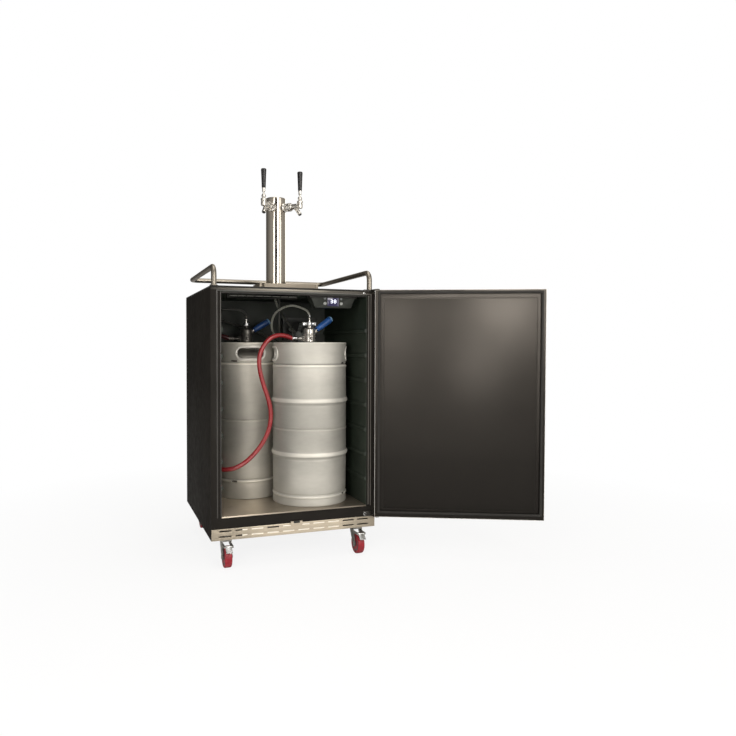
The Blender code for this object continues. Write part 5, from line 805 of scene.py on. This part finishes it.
def couplers():
    """Lever couplers: body, collar, gas nut, wing nut and stem, with the lever's ears."""
    for word, node, lever_angle in (("large", "coupler_large", 36.5), ("slim", "coupler_slim", 31.0)):
        keg_low, keg_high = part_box("keg_" + word)
        x, y = (keg_low.x + keg_high.x) / 2, (keg_low.y + keg_high.y) / 2
        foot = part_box(node)[0].z + 0.014
        spot = Vector((x, y, foot))
        body = turned("coupler_body_" + word, ((4, -13.8), (25, -13.8), (25.6, -12), (25.6, 0), (32, 0), (34, 1.8),
                                               (34, 8.5), (32.2, 10.5), (27, 12), (24.5, 15), (23.2, 18), (23.2, 42),
                                               (24.3, 43), (24.3, 46.5), (23.2, 47.5), (23.2, 62), (20, 67), (15, 68),
                                               (11.5, 68.2), (10.5, 69), (10.5, 72), (8.5, 73), (8.5, 79), (4, 79)),
                      48, spot, soft=0.0008)
        pivot = spot + Vector((0.0215, 0, 0.0565))
        port = spot + UP * 0.0286
        carved(body, block("lever_slot", spot + Vector((0.012, -0.0043, 0.049)), spot + Vector((0.04, 0.0043, 0.0665))))
        parts = [body]
        lugs = block("lug", (-0.036, -0.011, 0.0005), (0.036, 0.011, 0.0088), 0.0016)
        parts.append(copied(lugs, "lug_across", spot))
        bpy.data.objects.remove(lugs, do_unlink=True)
        for side in (-1, 1):
            left, right = sorted((side * 0.0043, side * 0.0073))
            ear = block("ear", spot + Vector((0.01, left, 0.05)), spot + Vector((0.028, right, 0.063)))
            pick_up(ear)
            bpy.ops.object.mode_set(mode="EDIT")
            select_where(ear, lambda middle, along: abs(along.y) > 0.9 and middle.x > x + 0.02, "EDGE")
            bpy.ops.mesh.bevel(offset=0.0055, segments=6, affect="EDGES")
            put_down()
            parts.append(eased(ear, 0.0004))
        parts.append(turned("ear_pin", ((2.2, -8.5), (2.2, 8.5)), 20, pivot, -OUT))
        for side in (-1, 1):
            parts.append(turned("pin_head", ((3.4, 0), (3.4, 1), (2.2, 1.6)), 20, pivot - OUT * side * 0.0073,
                                -OUT * side))
        parts.append(turned("gas_nut", ((10, 19), (11, 20.5), (11, 31), (9.5, 32.5)), 6, port, -ACROSS,
                            math.radians(30), soft=0.0006))
        parts.append(turned("gas_barb", ((7, 30), (7, 36), (4.8, 37), (5.8, 40), (5.8, 41.5), (4.8, 44), (5.8, 47),
                                         (4.8, 50.8)), 28, port, -ACROSS))
        parts.append(turned("relief_valve", ((6.2, 18), (6.2, 25.5), (4.8, 26.5), (4.8, 30), (3.6, 30.8)), 24, port,
                            OUT, soft=0.0004))
        # The slim keg's casting takes a darker copy of the nickel: painted shade.
        casting = "cast_nickel" if word == "large" else "shaded_nickel"
        dress(joined("coupler_casting_" + word, parts), casting, node, slot="chrome")

        nut = turned("wing_core", ((8.5, 76.5), (11, 77.5), (11.8, 80), (11.8, 89), (10.5, 90.5), (8, 91)), 32, spot,
                     soft=0.0006)
        wings = [nut]
        for side in (-1, 1):
            left, right = sorted((side * 0.008, side * 0.0262))
            wing = block("wing", spot + Vector((left, -0.003, 0.0795)), spot + Vector((right, 0.003, 0.0885)))
            pick_up(wing)
            bpy.ops.object.mode_set(mode="EDIT")
            select_where(wing, lambda middle, out: out.x * side > 0.9)
            bpy.ops.transform.resize(value=(1, 0.75, 1.5), center_override=spot + Vector((side * 0.0262, 0, 0.0865)))
            put_down()
            wings.append(eased(wing, 0.0014, 3))
        wing_nut = joined("wing_nut_" + word, wings)
        if word == "slim":
            turn = Matrix.Rotation(math.radians(72), 4, "Z")
            wing_nut.data.transform(Matrix.Translation(spot) @ turn @ Matrix.Translation(-spot))
        dress(wing_nut, "bright_zinc")
        stem = turned("line_tail_" + word, ((5.2, 88), (5.2, 96), (4.6, 96.6), (5.2, 99.5), (4.6, 100), (5.2, 103),
                                            (4.2, 106.8)), 28, spot)
        dress(stem, "chrome_plate")

        angle = math.radians(lever_angle)
        along = Vector((math.cos(angle), 0, math.sin(angle)))
        body_name = "coupler_lever_" + word
        eye = turned("lever_eye", ((2.6, -4), (6, -4), (6, 4), (2.6, 4)), 28, pivot, -OUT, soft=0.0006)
        arm = turned("lever_arm", ((3.4, 4), (3.6, 5.5), (3.6, 18)), 24, pivot, along)
        dress(joined("lever_root_" + word, [eye, arm]), "chrome_plate", body=body_name)
        grip = turned("lever_grip_" + word, ((5, 10), (8.8, 10), (10.4, 11.5), (10.4, 15), (9.4, 16.5), (10.4, 20),
                                             (11.8, 30), (12.4, 44), (12.6, 56), (12.6, 70), (12.2, 75), (11.2, 76.5),
                                             (5, 76.8)), 32, pivot, along, soft=0.0009)
        # The slim keg's grip takes a darker copy of the blue: painted shade.
        dress(grip, "blue_grip" if word == "large" else "blue_grip_shaded", "coupler_lever_" + word, body=body_name,
              slot="blue_plastic")
        ring = turned("grip_ring_" + word, ((5, 76.6), (11.2, 76.6), (12, 77.6), (12, 80), (10.4, 82), (7, 82.2)), 32,
                      pivot, along, soft=0.0006)
        dress(ring, "grip_cap", body=body_name)


# tower, taps and handles

def tower():
    low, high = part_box("tower_column")
    axis = Vector(((low.x + high.x) / 2, (low.y + high.y) / 2, 0))
    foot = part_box("tower_base")[0].z
    spot = axis + UP * foot
    base = turned("tower_flange", ((32, 0), (50, 0), (50, 2.2), (48.4, 4), (44.5, 4.6), (43, 6), (43, 10.8),
                                   (42.2, 11.8), (38.1, 12), (38.1, 4.5), (32, 4.5)), 96, spot, soft=0.0006)
    dress(base, "polished_steel", "tower_base", slot="polished")
    screws = []
    for k in range(4):
        turn = math.radians(45 + 90 * k)
        place = spot + Vector((math.cos(turn), math.sin(turn), 0)) * 0.0462 + UP * 0.0036
        screws.append(turned("flange_screw", ((2.6, 0), (2.6, 1.2), (2, 1.9), (1.2, 2.1), (1.2, 1.2), (0.4, 1.2)), 20,
                             place))
    dress(joined("flange_screws", screws), "bright_zinc")
    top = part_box("tower_cap")[1].z
    column = turned("tower_tube", ((0.0365, low.z), (0.038, low.z), (0.038, top - 0.0064), (0.0365, top - 0.0064)),
                    96, axis, unit=1)
    dress(column, "polished_steel", "tower_column", slot="polished")
    cap = turned("tower_lid", ((0.004, top - 0.016), (0.036, top - 0.016), (0.036, top - 0.006), (0.038, top - 0.006),
                               (0.038, top - 0.0026), (0.037, top - 0.0006), (0.0345, top), (0.004, top)), 96, axis,
                 soft=0.0008, unit=1)
    dress(cap, "polished_steel", "tower_cap", slot="polished")
    for side, word in ((-1, "left"), (1, "right")):
        taps(axis, side, word)


def taps(axis, side, word):
    """One shank through the tower's wall, its faucet, and the lever and handle on it."""
    turn = math.radians(38)
    out = Vector((side * math.sin(turn), -math.cos(turn), 0))
    centre = axis + UP * TAP_Z
    shank = turned("shank_bar_" + word, ((4, 10.5), (5.5, 10.5), (5.5, 20.5), (11, 20.5), (11, 38.3), (15.8, 38.3),
                                         (17.6, 39.2), (17.6, 43), (16, 46.5), (12, 48.3), (11, 49), (11, 56.5),
                                         (4, 56.5)), 40, centre, out, soft=0.0005)
    elbow = turned("line_elbow", ((4.5, -23.8), (4.5, -4)), 24, centre + out * 0.016)
    ring = [shank, elbow]
    for k in range(5):
        ring.append(turned("thread", ((10.9, 0), (11.5, 0.5), (10.9, 1)), 32, centre + out * (0.0496 + k * 0.0013),
                           out))
    dress(joined("shank_fitting_" + word, ring), "chrome_plate", "shank_" + word, slot="chrome")

    body = turned("faucet_body", ((4, 72.3), (11.5, 72.3), (12, 73.5), (12, 76.5), (10.5, 79), (10, 86), (10.4, 96),
                                  (9.8, 104), (7, 112), (4, 114)), 40, centre, out, soft=0.0008)
    nut = turned("coupling_nut", ((11.8, 56.2), (15.2, 56.2), (16, 57.2), (16, 70.6), (15.2, 71.8), (11.8, 71.8)), 40,
                 centre, out, soft=0.0005)
    facing = out.to_track_quat("Z", "Y")
    for k in range(8):
        step = math.pi * k / 4
        sideways = facing @ Vector((math.cos(step), math.sin(step), 0))
        pin = turned("notch", ((2.4, 50), (2.4, 80)), 16)
        pin.data.transform(Matrix.Translation(centre + sideways * 0.0168) @ facing.to_matrix().to_4x4())
        carved(nut, pin)
    stand = centre + out * 0.114
    bonnet = turned("faucet_bonnet", ((3, -10), (8, -10), (10, -7.8), (10.6, -3), (10.6, 6), (9, 8.2), (9.2, 9.5),
                                      (11.2, 10), (11.2, 17), (10.2, 18.4), (6, 18.6)), 40, stand, soft=0.0006)
    spout_points = [centre + out * 0.074 + UP * 0.001, centre + out * 0.09 - UP * 0.0035,
                    centre + out * 0.1 - UP * 0.012, centre + out * 0.115 - UP * 0.033]
    spout = drawn("faucet_spout", spout_points, (0.022, 0.02), 0.0072, 28, 6)
    down = (spout_points[-1] - spout_points[-2]).normalized()
    mouth = turned("spout_mouth", ((5.2, -0.6), (7.2, 0), (7.6, 1.4), (7.6, 4.4), (7, 5.6)), 28,
                   spout_points[-1] - down * 0.0002, -down, soft=0.0004)
    dress(joined("faucet_casting_" + word, [body, nut, bonnet, spout, mouth]), "chrome_plate", "faucet_" + word,
          slot="chrome")
    # A dark disc in the spout's mouth: painted shade where the bore lies in shadow.
    bore = turned("spout_shade_disc_" + word, ((4.8, -1.2), (5.2, -1.2), (5.6, -0.2), (5.6, 0.6)), 28, spout_points[-1],
                  -down)
    dress(bore, "seal_rubber")
    pivot = stand + UP * 0.0273
    ball = [(8.5 * math.cos(step), 8.5 * math.sin(step))
            for step in map(math.radians, (-80, -65, -50, -35, -20, -5, 10, 25, 40, 52))]
    lever = turned("lever_ball_" + word, (*ball, (4.2, 8.5), (3.8, 10), (3.8, 14.8), (5.6, 15.2), (6.4, 16.2),
                                          (6.4, 19), (5.4, 20.5), (5.4, 22.5), (6.6, 24), (7, 28.5), (6, 30)), 36,
                   pivot, soft=0.0003)
    dress(lever, "chrome_plate", "tap_lever_" + word, body="tap_" + word, slot="chrome")
    handle = turned("handle_grip_" + word, ((4, 30.3), (7, 30.3), (7.7, 31.2), (7.9, 40), (8.6, 60), (9.4, 80),
                                            (10.1, 93), (10.2, 96.5), (9.6, 98.8), (8, 100), (4, 100.3)), 36, pivot,
                    soft=0.0008)
    dress(handle, "handle_gloss", "tap_handle_" + word, body="tap_" + word, slot="black_plastic")


def rail():
    """The guard rail bent from one tube, with a foot under each post."""
    tube = 0.0095
    left, right = MIDDLE_X - 0.285, MIDDLE_X + 0.285
    front, back = FRONT_Y + 0.02, FRONT_Y + 0.555
    top, start = WORKTOP + 0.067, WORKTOP + 0.0018
    bar = drawn("rail_tube", ((left, front, start), (left, front, top), (left, back, top), (right, back, top),
                              (right, front, top), (right, front, start)), (0.03, 0.024, 0.024, 0.03), tube, 32, 10)
    feet = []
    for x, y in ((left, front), (right, front), (MIDDLE_X, back)):
        feet.append(turned("rail_foot", ((4, 0), (14.5, 0), (14.5, 1.8), (13.5, 3), (10, 3.6), (4, 3.6)), 40,
                           (x, y, WORKTOP + 0.0003), soft=0.0005))
    post = turned("rail_post", ((7.5, 2), (7.5, 64)), 28, (MIDDLE_X, back, WORKTOP))
    dress(joined("rail_bar", [bar, *feet[:2]]), "rail_steel", "guard_rail", slot="stainless")
    # The rear post is the rail's stainless drawn in the dark plate finish: painted shade.
    dress(joined("rail_rear_post", [post, feet[2]]), "dark_plate", "guard_rail", slot="stainless")


def tray():
    """Drip tray: a shallow pan with a lift-out perforated plate."""
    low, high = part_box("drip_tray")
    worked("drip_tray", "tray_pan", "tray_steel", 0.0012, 3, slot="stainless")
    floor_z = high.z - 0.006
    plate = block("tray_plate", (low.x + 0.01, low.y + 0.01, floor_z + 0.0002),
                  (high.x - 0.01, high.y - 0.01, floor_z + 0.0018), 0.0005)
    slot = slot_shape("drain_slot", 0.03, 0.0036, 0.01)
    slot.data.transform(Matrix.Rotation(math.pi / 2, 4, "X"))
    x, y = (low.x + high.x) / 2, (low.y + high.y) / 2
    cutters = [copied(slot, "drain_slot_copy", (x + column * 0.038, y + row * 0.0115, floor_z + 0.001))
               for row in range(-4, 5) for column in range(-2, 3)]
    bpy.data.objects.remove(slot, do_unlink=True)
    carved(plate, joined("drain_slots", cutters))
    dress(plate, "tray_steel")


# cabinet

def open_frame(name, low, high, bar, ease=0.0003):
    """A frame of left, top and right bars of one width, open at the bottom."""
    frame_piece = block(name, low, high)
    inside = block("frame_inside", (low[0] + bar, low[1] - 0.01, low[2] - 0.01),
                   (high[0] - bar, high[1] + 0.01, high[2] - bar))
    return eased(carved(frame_piece, inside), ease)


def opening():
    """The black head piece under the top flange, the rims of the opening and the pale lines on the flange."""
    head = block("opening_head", (-0.5347, FRONT_Y - 0.0014, 0.9405), (-0.0053, FRONT_Y + 0.0134, 0.9472), 0.0012, 3)
    brow = block("panel_brow", (-0.2165, -0.15, 0.9352), (-0.0365, -0.131, 0.9468), 0.001, 3)
    for piece in (head, brow):
        dress(piece, "seal_rubber")
    inner = [block("rim_bar", (left, FRONT_Y - 0.0028, 0.1825), (left + 0.0034, FRONT_Y + 0.002, 0.945), 0.0003)
             for left in (-0.5382, 0.0024)]
    dress(joined("opening_rim", inner), "rim_plastic")
    outer = open_frame("flange_line", (-0.55, FRONT_Y - 0.0004, 0.178), (0.015, FRONT_Y - 0.0001, 0.9517), 0.0036)
    dress(outer, "rim_plastic")
    trim = block("head_trim", (-0.5694, FRONT_Y - 0.0003, 0.9524), (0.0294, FRONT_Y + 0.0004, 0.9597), 0.0002)
    dress(trim, "head_trim")


def grille_backing():
    """Pale sheet close behind the middle slots of the grille."""
    low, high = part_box("front_grille")
    plates = [block("slot_backing", (low.x + start, high.y + 0.00004, low.z + bottom),
                    (low.x + end, high.y + 0.00026, low.z + top)) for start, end, bottom, top in GRILLE_BACKED]
    dress(joined("grille_backing", plates), "pale_sheet")


def foam(node):
    """Bare foam, which stays as the solid is."""
    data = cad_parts[node].data
    data.materials.clear()
    data.materials.append(LOOKS["rigid_foam"])


def cabinet():
    worked("cabinet_shell", "cabinet_wrapper", "cabinet_paint", 0.0005, slot="black_steel")
    opening()
    grille_backing()
    worked("worktop", "worktop_plate", "black_paint", 0.0006, slot="black_steel")
    worked("inner_liner", "cavity_liner", "liner_moulding", 0.0009, slot="liner")
    worked("floor_plate", "cavity_floor_plate", "floor_steel", 0.0003, slot="stainless")
    worked("rear_panel", "rear_cover", "zinc_sheet", 0.0003, slot="grey_steel")
    worked("base_pan", "base_tray", "zinc_sheet", 0.0003, slot="grey_steel")
    worked("front_grille", "kick_grille", "grille_steel", 0.0004, slot="stainless")
    worked("door_catch", "catch_plate", "grille_steel", 0.0008, slot="dark_metal")
    low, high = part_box("door_catch")
    middle_x = (low.x + high.x) / 2
    hook = block("catch_hook", (middle_x - 0.011, low.y - 0.0042, high.z - 0.0058),
                 (middle_x + 0.011, low.y + 0.0006, high.z + 0.001), 0.001, 3)
    dress(hook, "black_plastic")
    for word in ("lower", "upper"):
        worked("hinge_bracket_" + word, "hinge_plate_" + word, "dark_plate", 0.0004, slot="dark_metal")
    lower_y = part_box("hinge_bracket_lower")[1].y - 0.003
    heads = [turned("hinge_screw", ((5.5, 0), (5.5, 0.2), (4.4, 0.37), (1.8, 0.4), (1.8, 0.2), (0.4, 0.2)), 24, place,
                    OUT) for place in ((-0.0095, lower_y, 0.1494), (-0.0135, FRONT_Y, 0.9515))]
    dress(joined("hinge_screws", heads), "bright_zinc")
    foam("insulation_foam")


def controls():
    worked("control_housing", "control_body", "panel_plastic", 0.0012, 3, slot="black_plastic")
    worked("display_window", "display_pane", "window_glass", 0.0006, 3, slot="window")
    low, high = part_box("display_window")
    middle = (low + high) / 2
    segments = {"a": (0, 8), "b": (4, 4), "c": (4, -4), "d": (0, -8), "e": (-4, -4), "f": (-4, 4), "g": (0, 0)}
    bars = []
    for lit, shift in (("abcdg", -0.0068), ("abcdefg", 0.0068)):
        for x, z in (segments[mark] for mark in lit):
            wide, tall = (3.0, 0.75) if x == 0 else (0.8, 2.2)
            place = Vector((middle.x + shift + x * MM * 0.95, low.y - 0.0001, middle.z + z * MM * 0.7))
            bars.append(block("digit_bar", place - Vector((wide, 0, tall)) * MM,
                              place + Vector((wide, 0.4, tall)) * MM, 0.00015))
    dress(joined("display_digits", bars), "lit_digits")
    for word in ("left", "right"):
        low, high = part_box("button_" + word)
        x = (low.x + high.x) / 2
        knob = turned("button_cap_" + word, ((2, 0), (5.9, 0), (5.9, 6.2), (5.2, 7.2), (4.2, 7.4), (3.6, 6.9),
                                             (1, 6.7)), 36, (x, low.y + 0.008, (low.z + high.z) / 2), OUT, soft=0.0004)
        dress(knob, "pale_plastic", "button_" + word, body="button_" + word, slot="silver_plastic")
        lens = turned("panel_lens_" + word, ((4.2, 0), (4.2, 0.8), (3.4, 1.3), (1, 1.4)), 28,
                      (x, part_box("control_housing")[0].y + 0.0003, 0.9325), OUT)
        dress(lens, "dim_lens")
    worked("vent_strip", "vent_grid", "vent_black", 0.0004, slot="grey_plastic")
    low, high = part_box("vent_strip")
    pitch = (high.x - low.x - 0.008) / 8
    starts = [low.x + 0.008 + k * pitch for k in range(8)]
    fins = [block("vent_fin", (start + 0.0005, low.y - 0.0006, low.z + 0.0055),
                  (start + pitch - 0.003, high.y - 0.001, low.z + 0.0085), 0.0003) for start in starts]
    dress(joined("vent_fins", fins), "vent_fin")


def fan():
    """Fan box with a wire guard, and a rotor with five twisted blades."""
    low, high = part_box("fan_housing")
    middle = (low + high) / 2
    worked("fan_housing", "fan_box", "black_plastic", 0.001, slot="black_plastic")
    wires = []
    guard = Vector((middle.x, low.y - 0.0012, middle.z))
    for ring_radius in (0.018, 0.03, 0.042, 0.0535):
        put_down()
        bpy.ops.mesh.primitive_torus_add(major_radius=ring_radius, minor_radius=0.0009, major_segments=48,
                                         minor_segments=10, location=guard, rotation=(math.pi / 2, 0, 0))
        wires.append(started("guard_ring"))
        put_down()
    for k in range(4):
        turn = math.radians(45 + 90 * k)
        out = Vector((math.cos(turn), 0, math.sin(turn)))
        wires.append(turned("guard_spoke", ((0.9, 17), (0.9, 64)), 10, guard, out))
        wires.append(turned("guard_foot", ((3, 0), (3, 1.8), (1.8, 2.4)), 20,
                            Vector((middle.x, low.y, middle.z)) + out * 0.062, OUT))
    dress(joined("fan_guard", wires), "dark_plate")
    hub_back = Vector((middle.x, 0.2825, middle.z))
    hub = turned("fan_hub", ((3.5, 0), (15, 0), (15, 10), (13, 12.2), (3.5, 12.6)), 36, hub_back, OUT, soft=0.0008)
    blades = [hub]
    blade = block("fan_blade", (0.0135, -0.01, -0.0009), (0.049, 0.01, 0.0009))
    pick_up(blade)
    bpy.ops.object.mode_set(mode="EDIT")
    bpy.ops.mesh.select_all(action="SELECT")
    bpy.ops.mesh.subdivide(number_cuts=4)
    select_where(blade, lambda place, normal: place.x > 0.048, "VERT")
    bpy.ops.transform.resize(value=(1, 1.15, 1))
    put_down()
    for corner in blade.data.vertices:
        share = (corner.co.x - 0.0135) / 0.0355
        twist = Matrix.Rotation(math.radians(34 - 12 * share), 3, "X")
        corner.co = twist @ corner.co
        corner.co.z += 0.0055
    eased(blade, 0.0004)
    turn_out = Matrix.Translation(hub_back) @ Matrix.Rotation(math.pi / 2, 4, "X")
    for k in range(5):
        blades.append(copied(blade, "fan_blade_copy", turn=turn_out @ Matrix.Rotation(2 * math.pi * k / 5, 4, "Z")))
    bpy.data.objects.remove(blade, do_unlink=True)
    dress(joined("fan_blades", blades), "grey_plastic", "fan_rotor", body="fan", slot="grey_plastic")


# door

def door():
    worked("door_skin", "door_shell", "door_steel", 0.0005, body="door", slot="stainless")
    worked("door_panel", "door_lining_sheet", "door_lining", 0.0005, body="door", slot="black_panel")
    worked("door_gasket", "door_seal", "seal_rubber", 0.0026, 3, body="door", slot="gasket_rubber")
    foam("door_foam")
    low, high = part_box("door_handle")
    away = Vector((0.4147, 0.91, 0))  # out of the door's face, as it stands open
    foot = Vector((high.x - 0.008, high.y - 0.008, low.z))
    tall = high.z - low.z
    bar = turned("handle_rod", ((0.005, 0.0), (0.0074, 0.0004), (0.008, 0.0016), (0.008, tall - 0.0016),
                                (0.0074, tall - 0.0004), (0.005, tall)), 40, foot, unit=1)
    legs = [turned("handle_leg", ((6, -0.2), (9, -0.2), (9, 3), (8.2, 4.2), (6, 5), (6, 36)), 32,
                   foot - away * 0.04 + UP * rise, away, soft=0.0004) for rise in (0.03, tall - 0.03)]
    dress(joined("door_bar", [bar, *legs]), "brushed_steel", "door_handle", body="door", slot="stainless")


# casters

def casters():
    for word in ("front_left", "front_right", "rear_left", "rear_right"):
        worked("caster_fork_" + word, "caster_yoke_" + word, "fork_zinc", 0.0005, body="fork_" + word,
               slot="black_steel")
        low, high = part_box("caster_wheel_" + word)
        hub = Vector(((low.x + high.x) / 2, (low.y + high.y) / 2, AXLE_Z))
        tread = turned("caster_tread_" + word, ((24, -11), (30, -11.6), (32.2, -12.6), (34, -12.8), (36, -11.4),
                                                (37, -8), (37.1, 0), (37, 8), (36, 11.4), (34, 12.8), (32.2, 12.6),
                                                (30, 11.6), (24, 11)), 64, hub, ACROSS, soft=0.0006)
        dress(tread, "red_tread", "caster_wheel_" + word, body="wheel_" + word, slot="tread")
        core = turned("caster_core_" + word, ((4.4, -13.4), (8.8, -13.4), (9.6, -12), (11, -10.4), (20, -10),
                                              (22.5, -11.2), (26.2, -12.2), (27.2, -11.6), (27.2, 11.6), (26.2, 12.2),
                                              (22.5, 11.2), (20, 10), (11, 10.4), (9.6, 12), (8.8, 13.4),
                                              (4.4, 13.4)), 48, hub, ACROSS, soft=0.0006)
        dress(core, "wheel_core", body="wheel_" + word)
    for word in ("front_left", "front_right"):
        worked("caster_brake_" + word, "brake_pedal_" + word, "bright_zinc", 0.0005, body="brake_" + word,
               slot="silver")


# behind the rear panel and through it

def sloped(name, low, high, drop):
    """A block whose outer face slopes, its top edge drawn in."""
    piece = block(name, low, high)
    pick_up(piece)
    bpy.ops.object.mode_set(mode="EDIT")
    select_where(piece, lambda place, along: place.y > high[1] - 0.001 and place.z > high[2] - 0.001
                 and abs(along.x) > 0.9, "EDGE")
    bpy.ops.transform.translate(value=(0, -drop, 0))
    put_down()
    return piece


def rear_fittings():
    """Pressed hoods over the louvres, the panel's screws, the inlet's pins and frame, and the gas port's nut."""
    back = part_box("rear_panel")[1].y
    hood = eased(sloped("louvre_hood", (-0.0765, 0, 0.0002), (0.0765, 0.0062, 0.0112), 0.0056), 0.0008)
    carved(hood, sloped("hood_hollow", (-0.0755, -0.001, -0.001), (0.0755, 0.005, 0.009), 0.0046))
    hoods = [copied(hood, "louvre_hood_copy", (MIDDLE_X + side * 0.12, back + 0.0001, UNDERSIDE + 0.07 + k * 0.022))
             for side in (-1, 1) for k in range(6)]
    bpy.data.objects.remove(hood, do_unlink=True)
    dress(joined("louvre_hoods", hoods), "zinc_sheet")

    screws = [(x, z) for x in (-0.284, -0.095, 0.095, 0.284) for z in (0.015, 0.844)]
    screws += [(x, z) for z in (0.23, 0.44, 0.64) for x in (-0.284, 0.284)]
    heads = [turned("panel_screw", ((4.4, 0), (4.4, 0.8), (3.6, 1.9), (1.8, 2.3), (1.6, 1.2), (0.4, 1.2)), 20,
                    (MIDDLE_X + x, back + 0.0001, UNDERSIDE + z), -OUT) for x, z in screws]
    dress(joined("rear_screws", heads), "bright_zinc")

    low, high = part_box("mains_inlet")
    middle = (low + high) / 2
    socket = worked_copy("mains_inlet", "inlet_socket", 0.0012, 2)
    carved(socket, block("inlet_well", (middle.x - 0.0165, high.y - 0.012, middle.z - 0.0095),
                         (middle.x + 0.0165, high.y + 0.001, middle.z + 0.0095), 0.003))
    dress(socket, "black_plastic", "mains_inlet", slot="black_plastic")
    pins = [block("inlet_pin", (middle.x + x - 0.001, high.y - 0.0125, middle.z + z - 0.0022),
                  (middle.x + x + 0.001, high.y - 0.003, middle.z + z + 0.0022), 0.0004)
            for x, z in ((-0.0085, -0.0015), (0.0085, -0.0015), (0, 0.0028))]
    dress(joined("inlet_pins", pins), "bright_zinc")

    left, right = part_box("gas_manifold")
    port = Vector(((left.x + right.x) / 2, back + 0.0002, 0.315))
    nut = turned("port_nut", ((6.2, 0), (11.8, 0), (12.4, 0.8), (12.4, 5.2), (11.2, 6.2), (6.2, 6.2)), 6, port, -OUT,
                 soft=0.0005)
    washer = turned("port_washer", ((6.2, 0), (15, 0), (15, 1), (6.2, 1)), 40, port + OUT * 0.0001, -OUT, soft=0.0003)
    dress(joined("gas_port_nut", [nut, washer]), "bright_zinc")


def machinery():
    worked("gas_manifold", "gas_block", "chrome_plate", 0.0005, slot="chrome")
    low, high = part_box("compressor")
    middle = (low + high) / 2
    pump = turned("pump_dome", ((10, 0), (30, 0), (30, 8), (42, 12), (52, 30), (52, 78), (53.5, 79), (53.5, 83),
                                (52, 84), (52, 120), (46, 138), (30, 147), (10, 150)), 64,
                  (middle.x, middle.y, low.z), soft=0.003)
    dress(pump, "black_paint", "compressor", slot="black_steel")
    worked("condenser", "condenser_fins", "dark_plate", 0, slot="condenser_metal")


camera()
LOOKS = finishes()
hoses()
kegs()
couplers()
tower()
rail()
tray()
cabinet()
controls()
fan()
door()
casters()
machinery()
rear_fittings()
studio()
put_down()
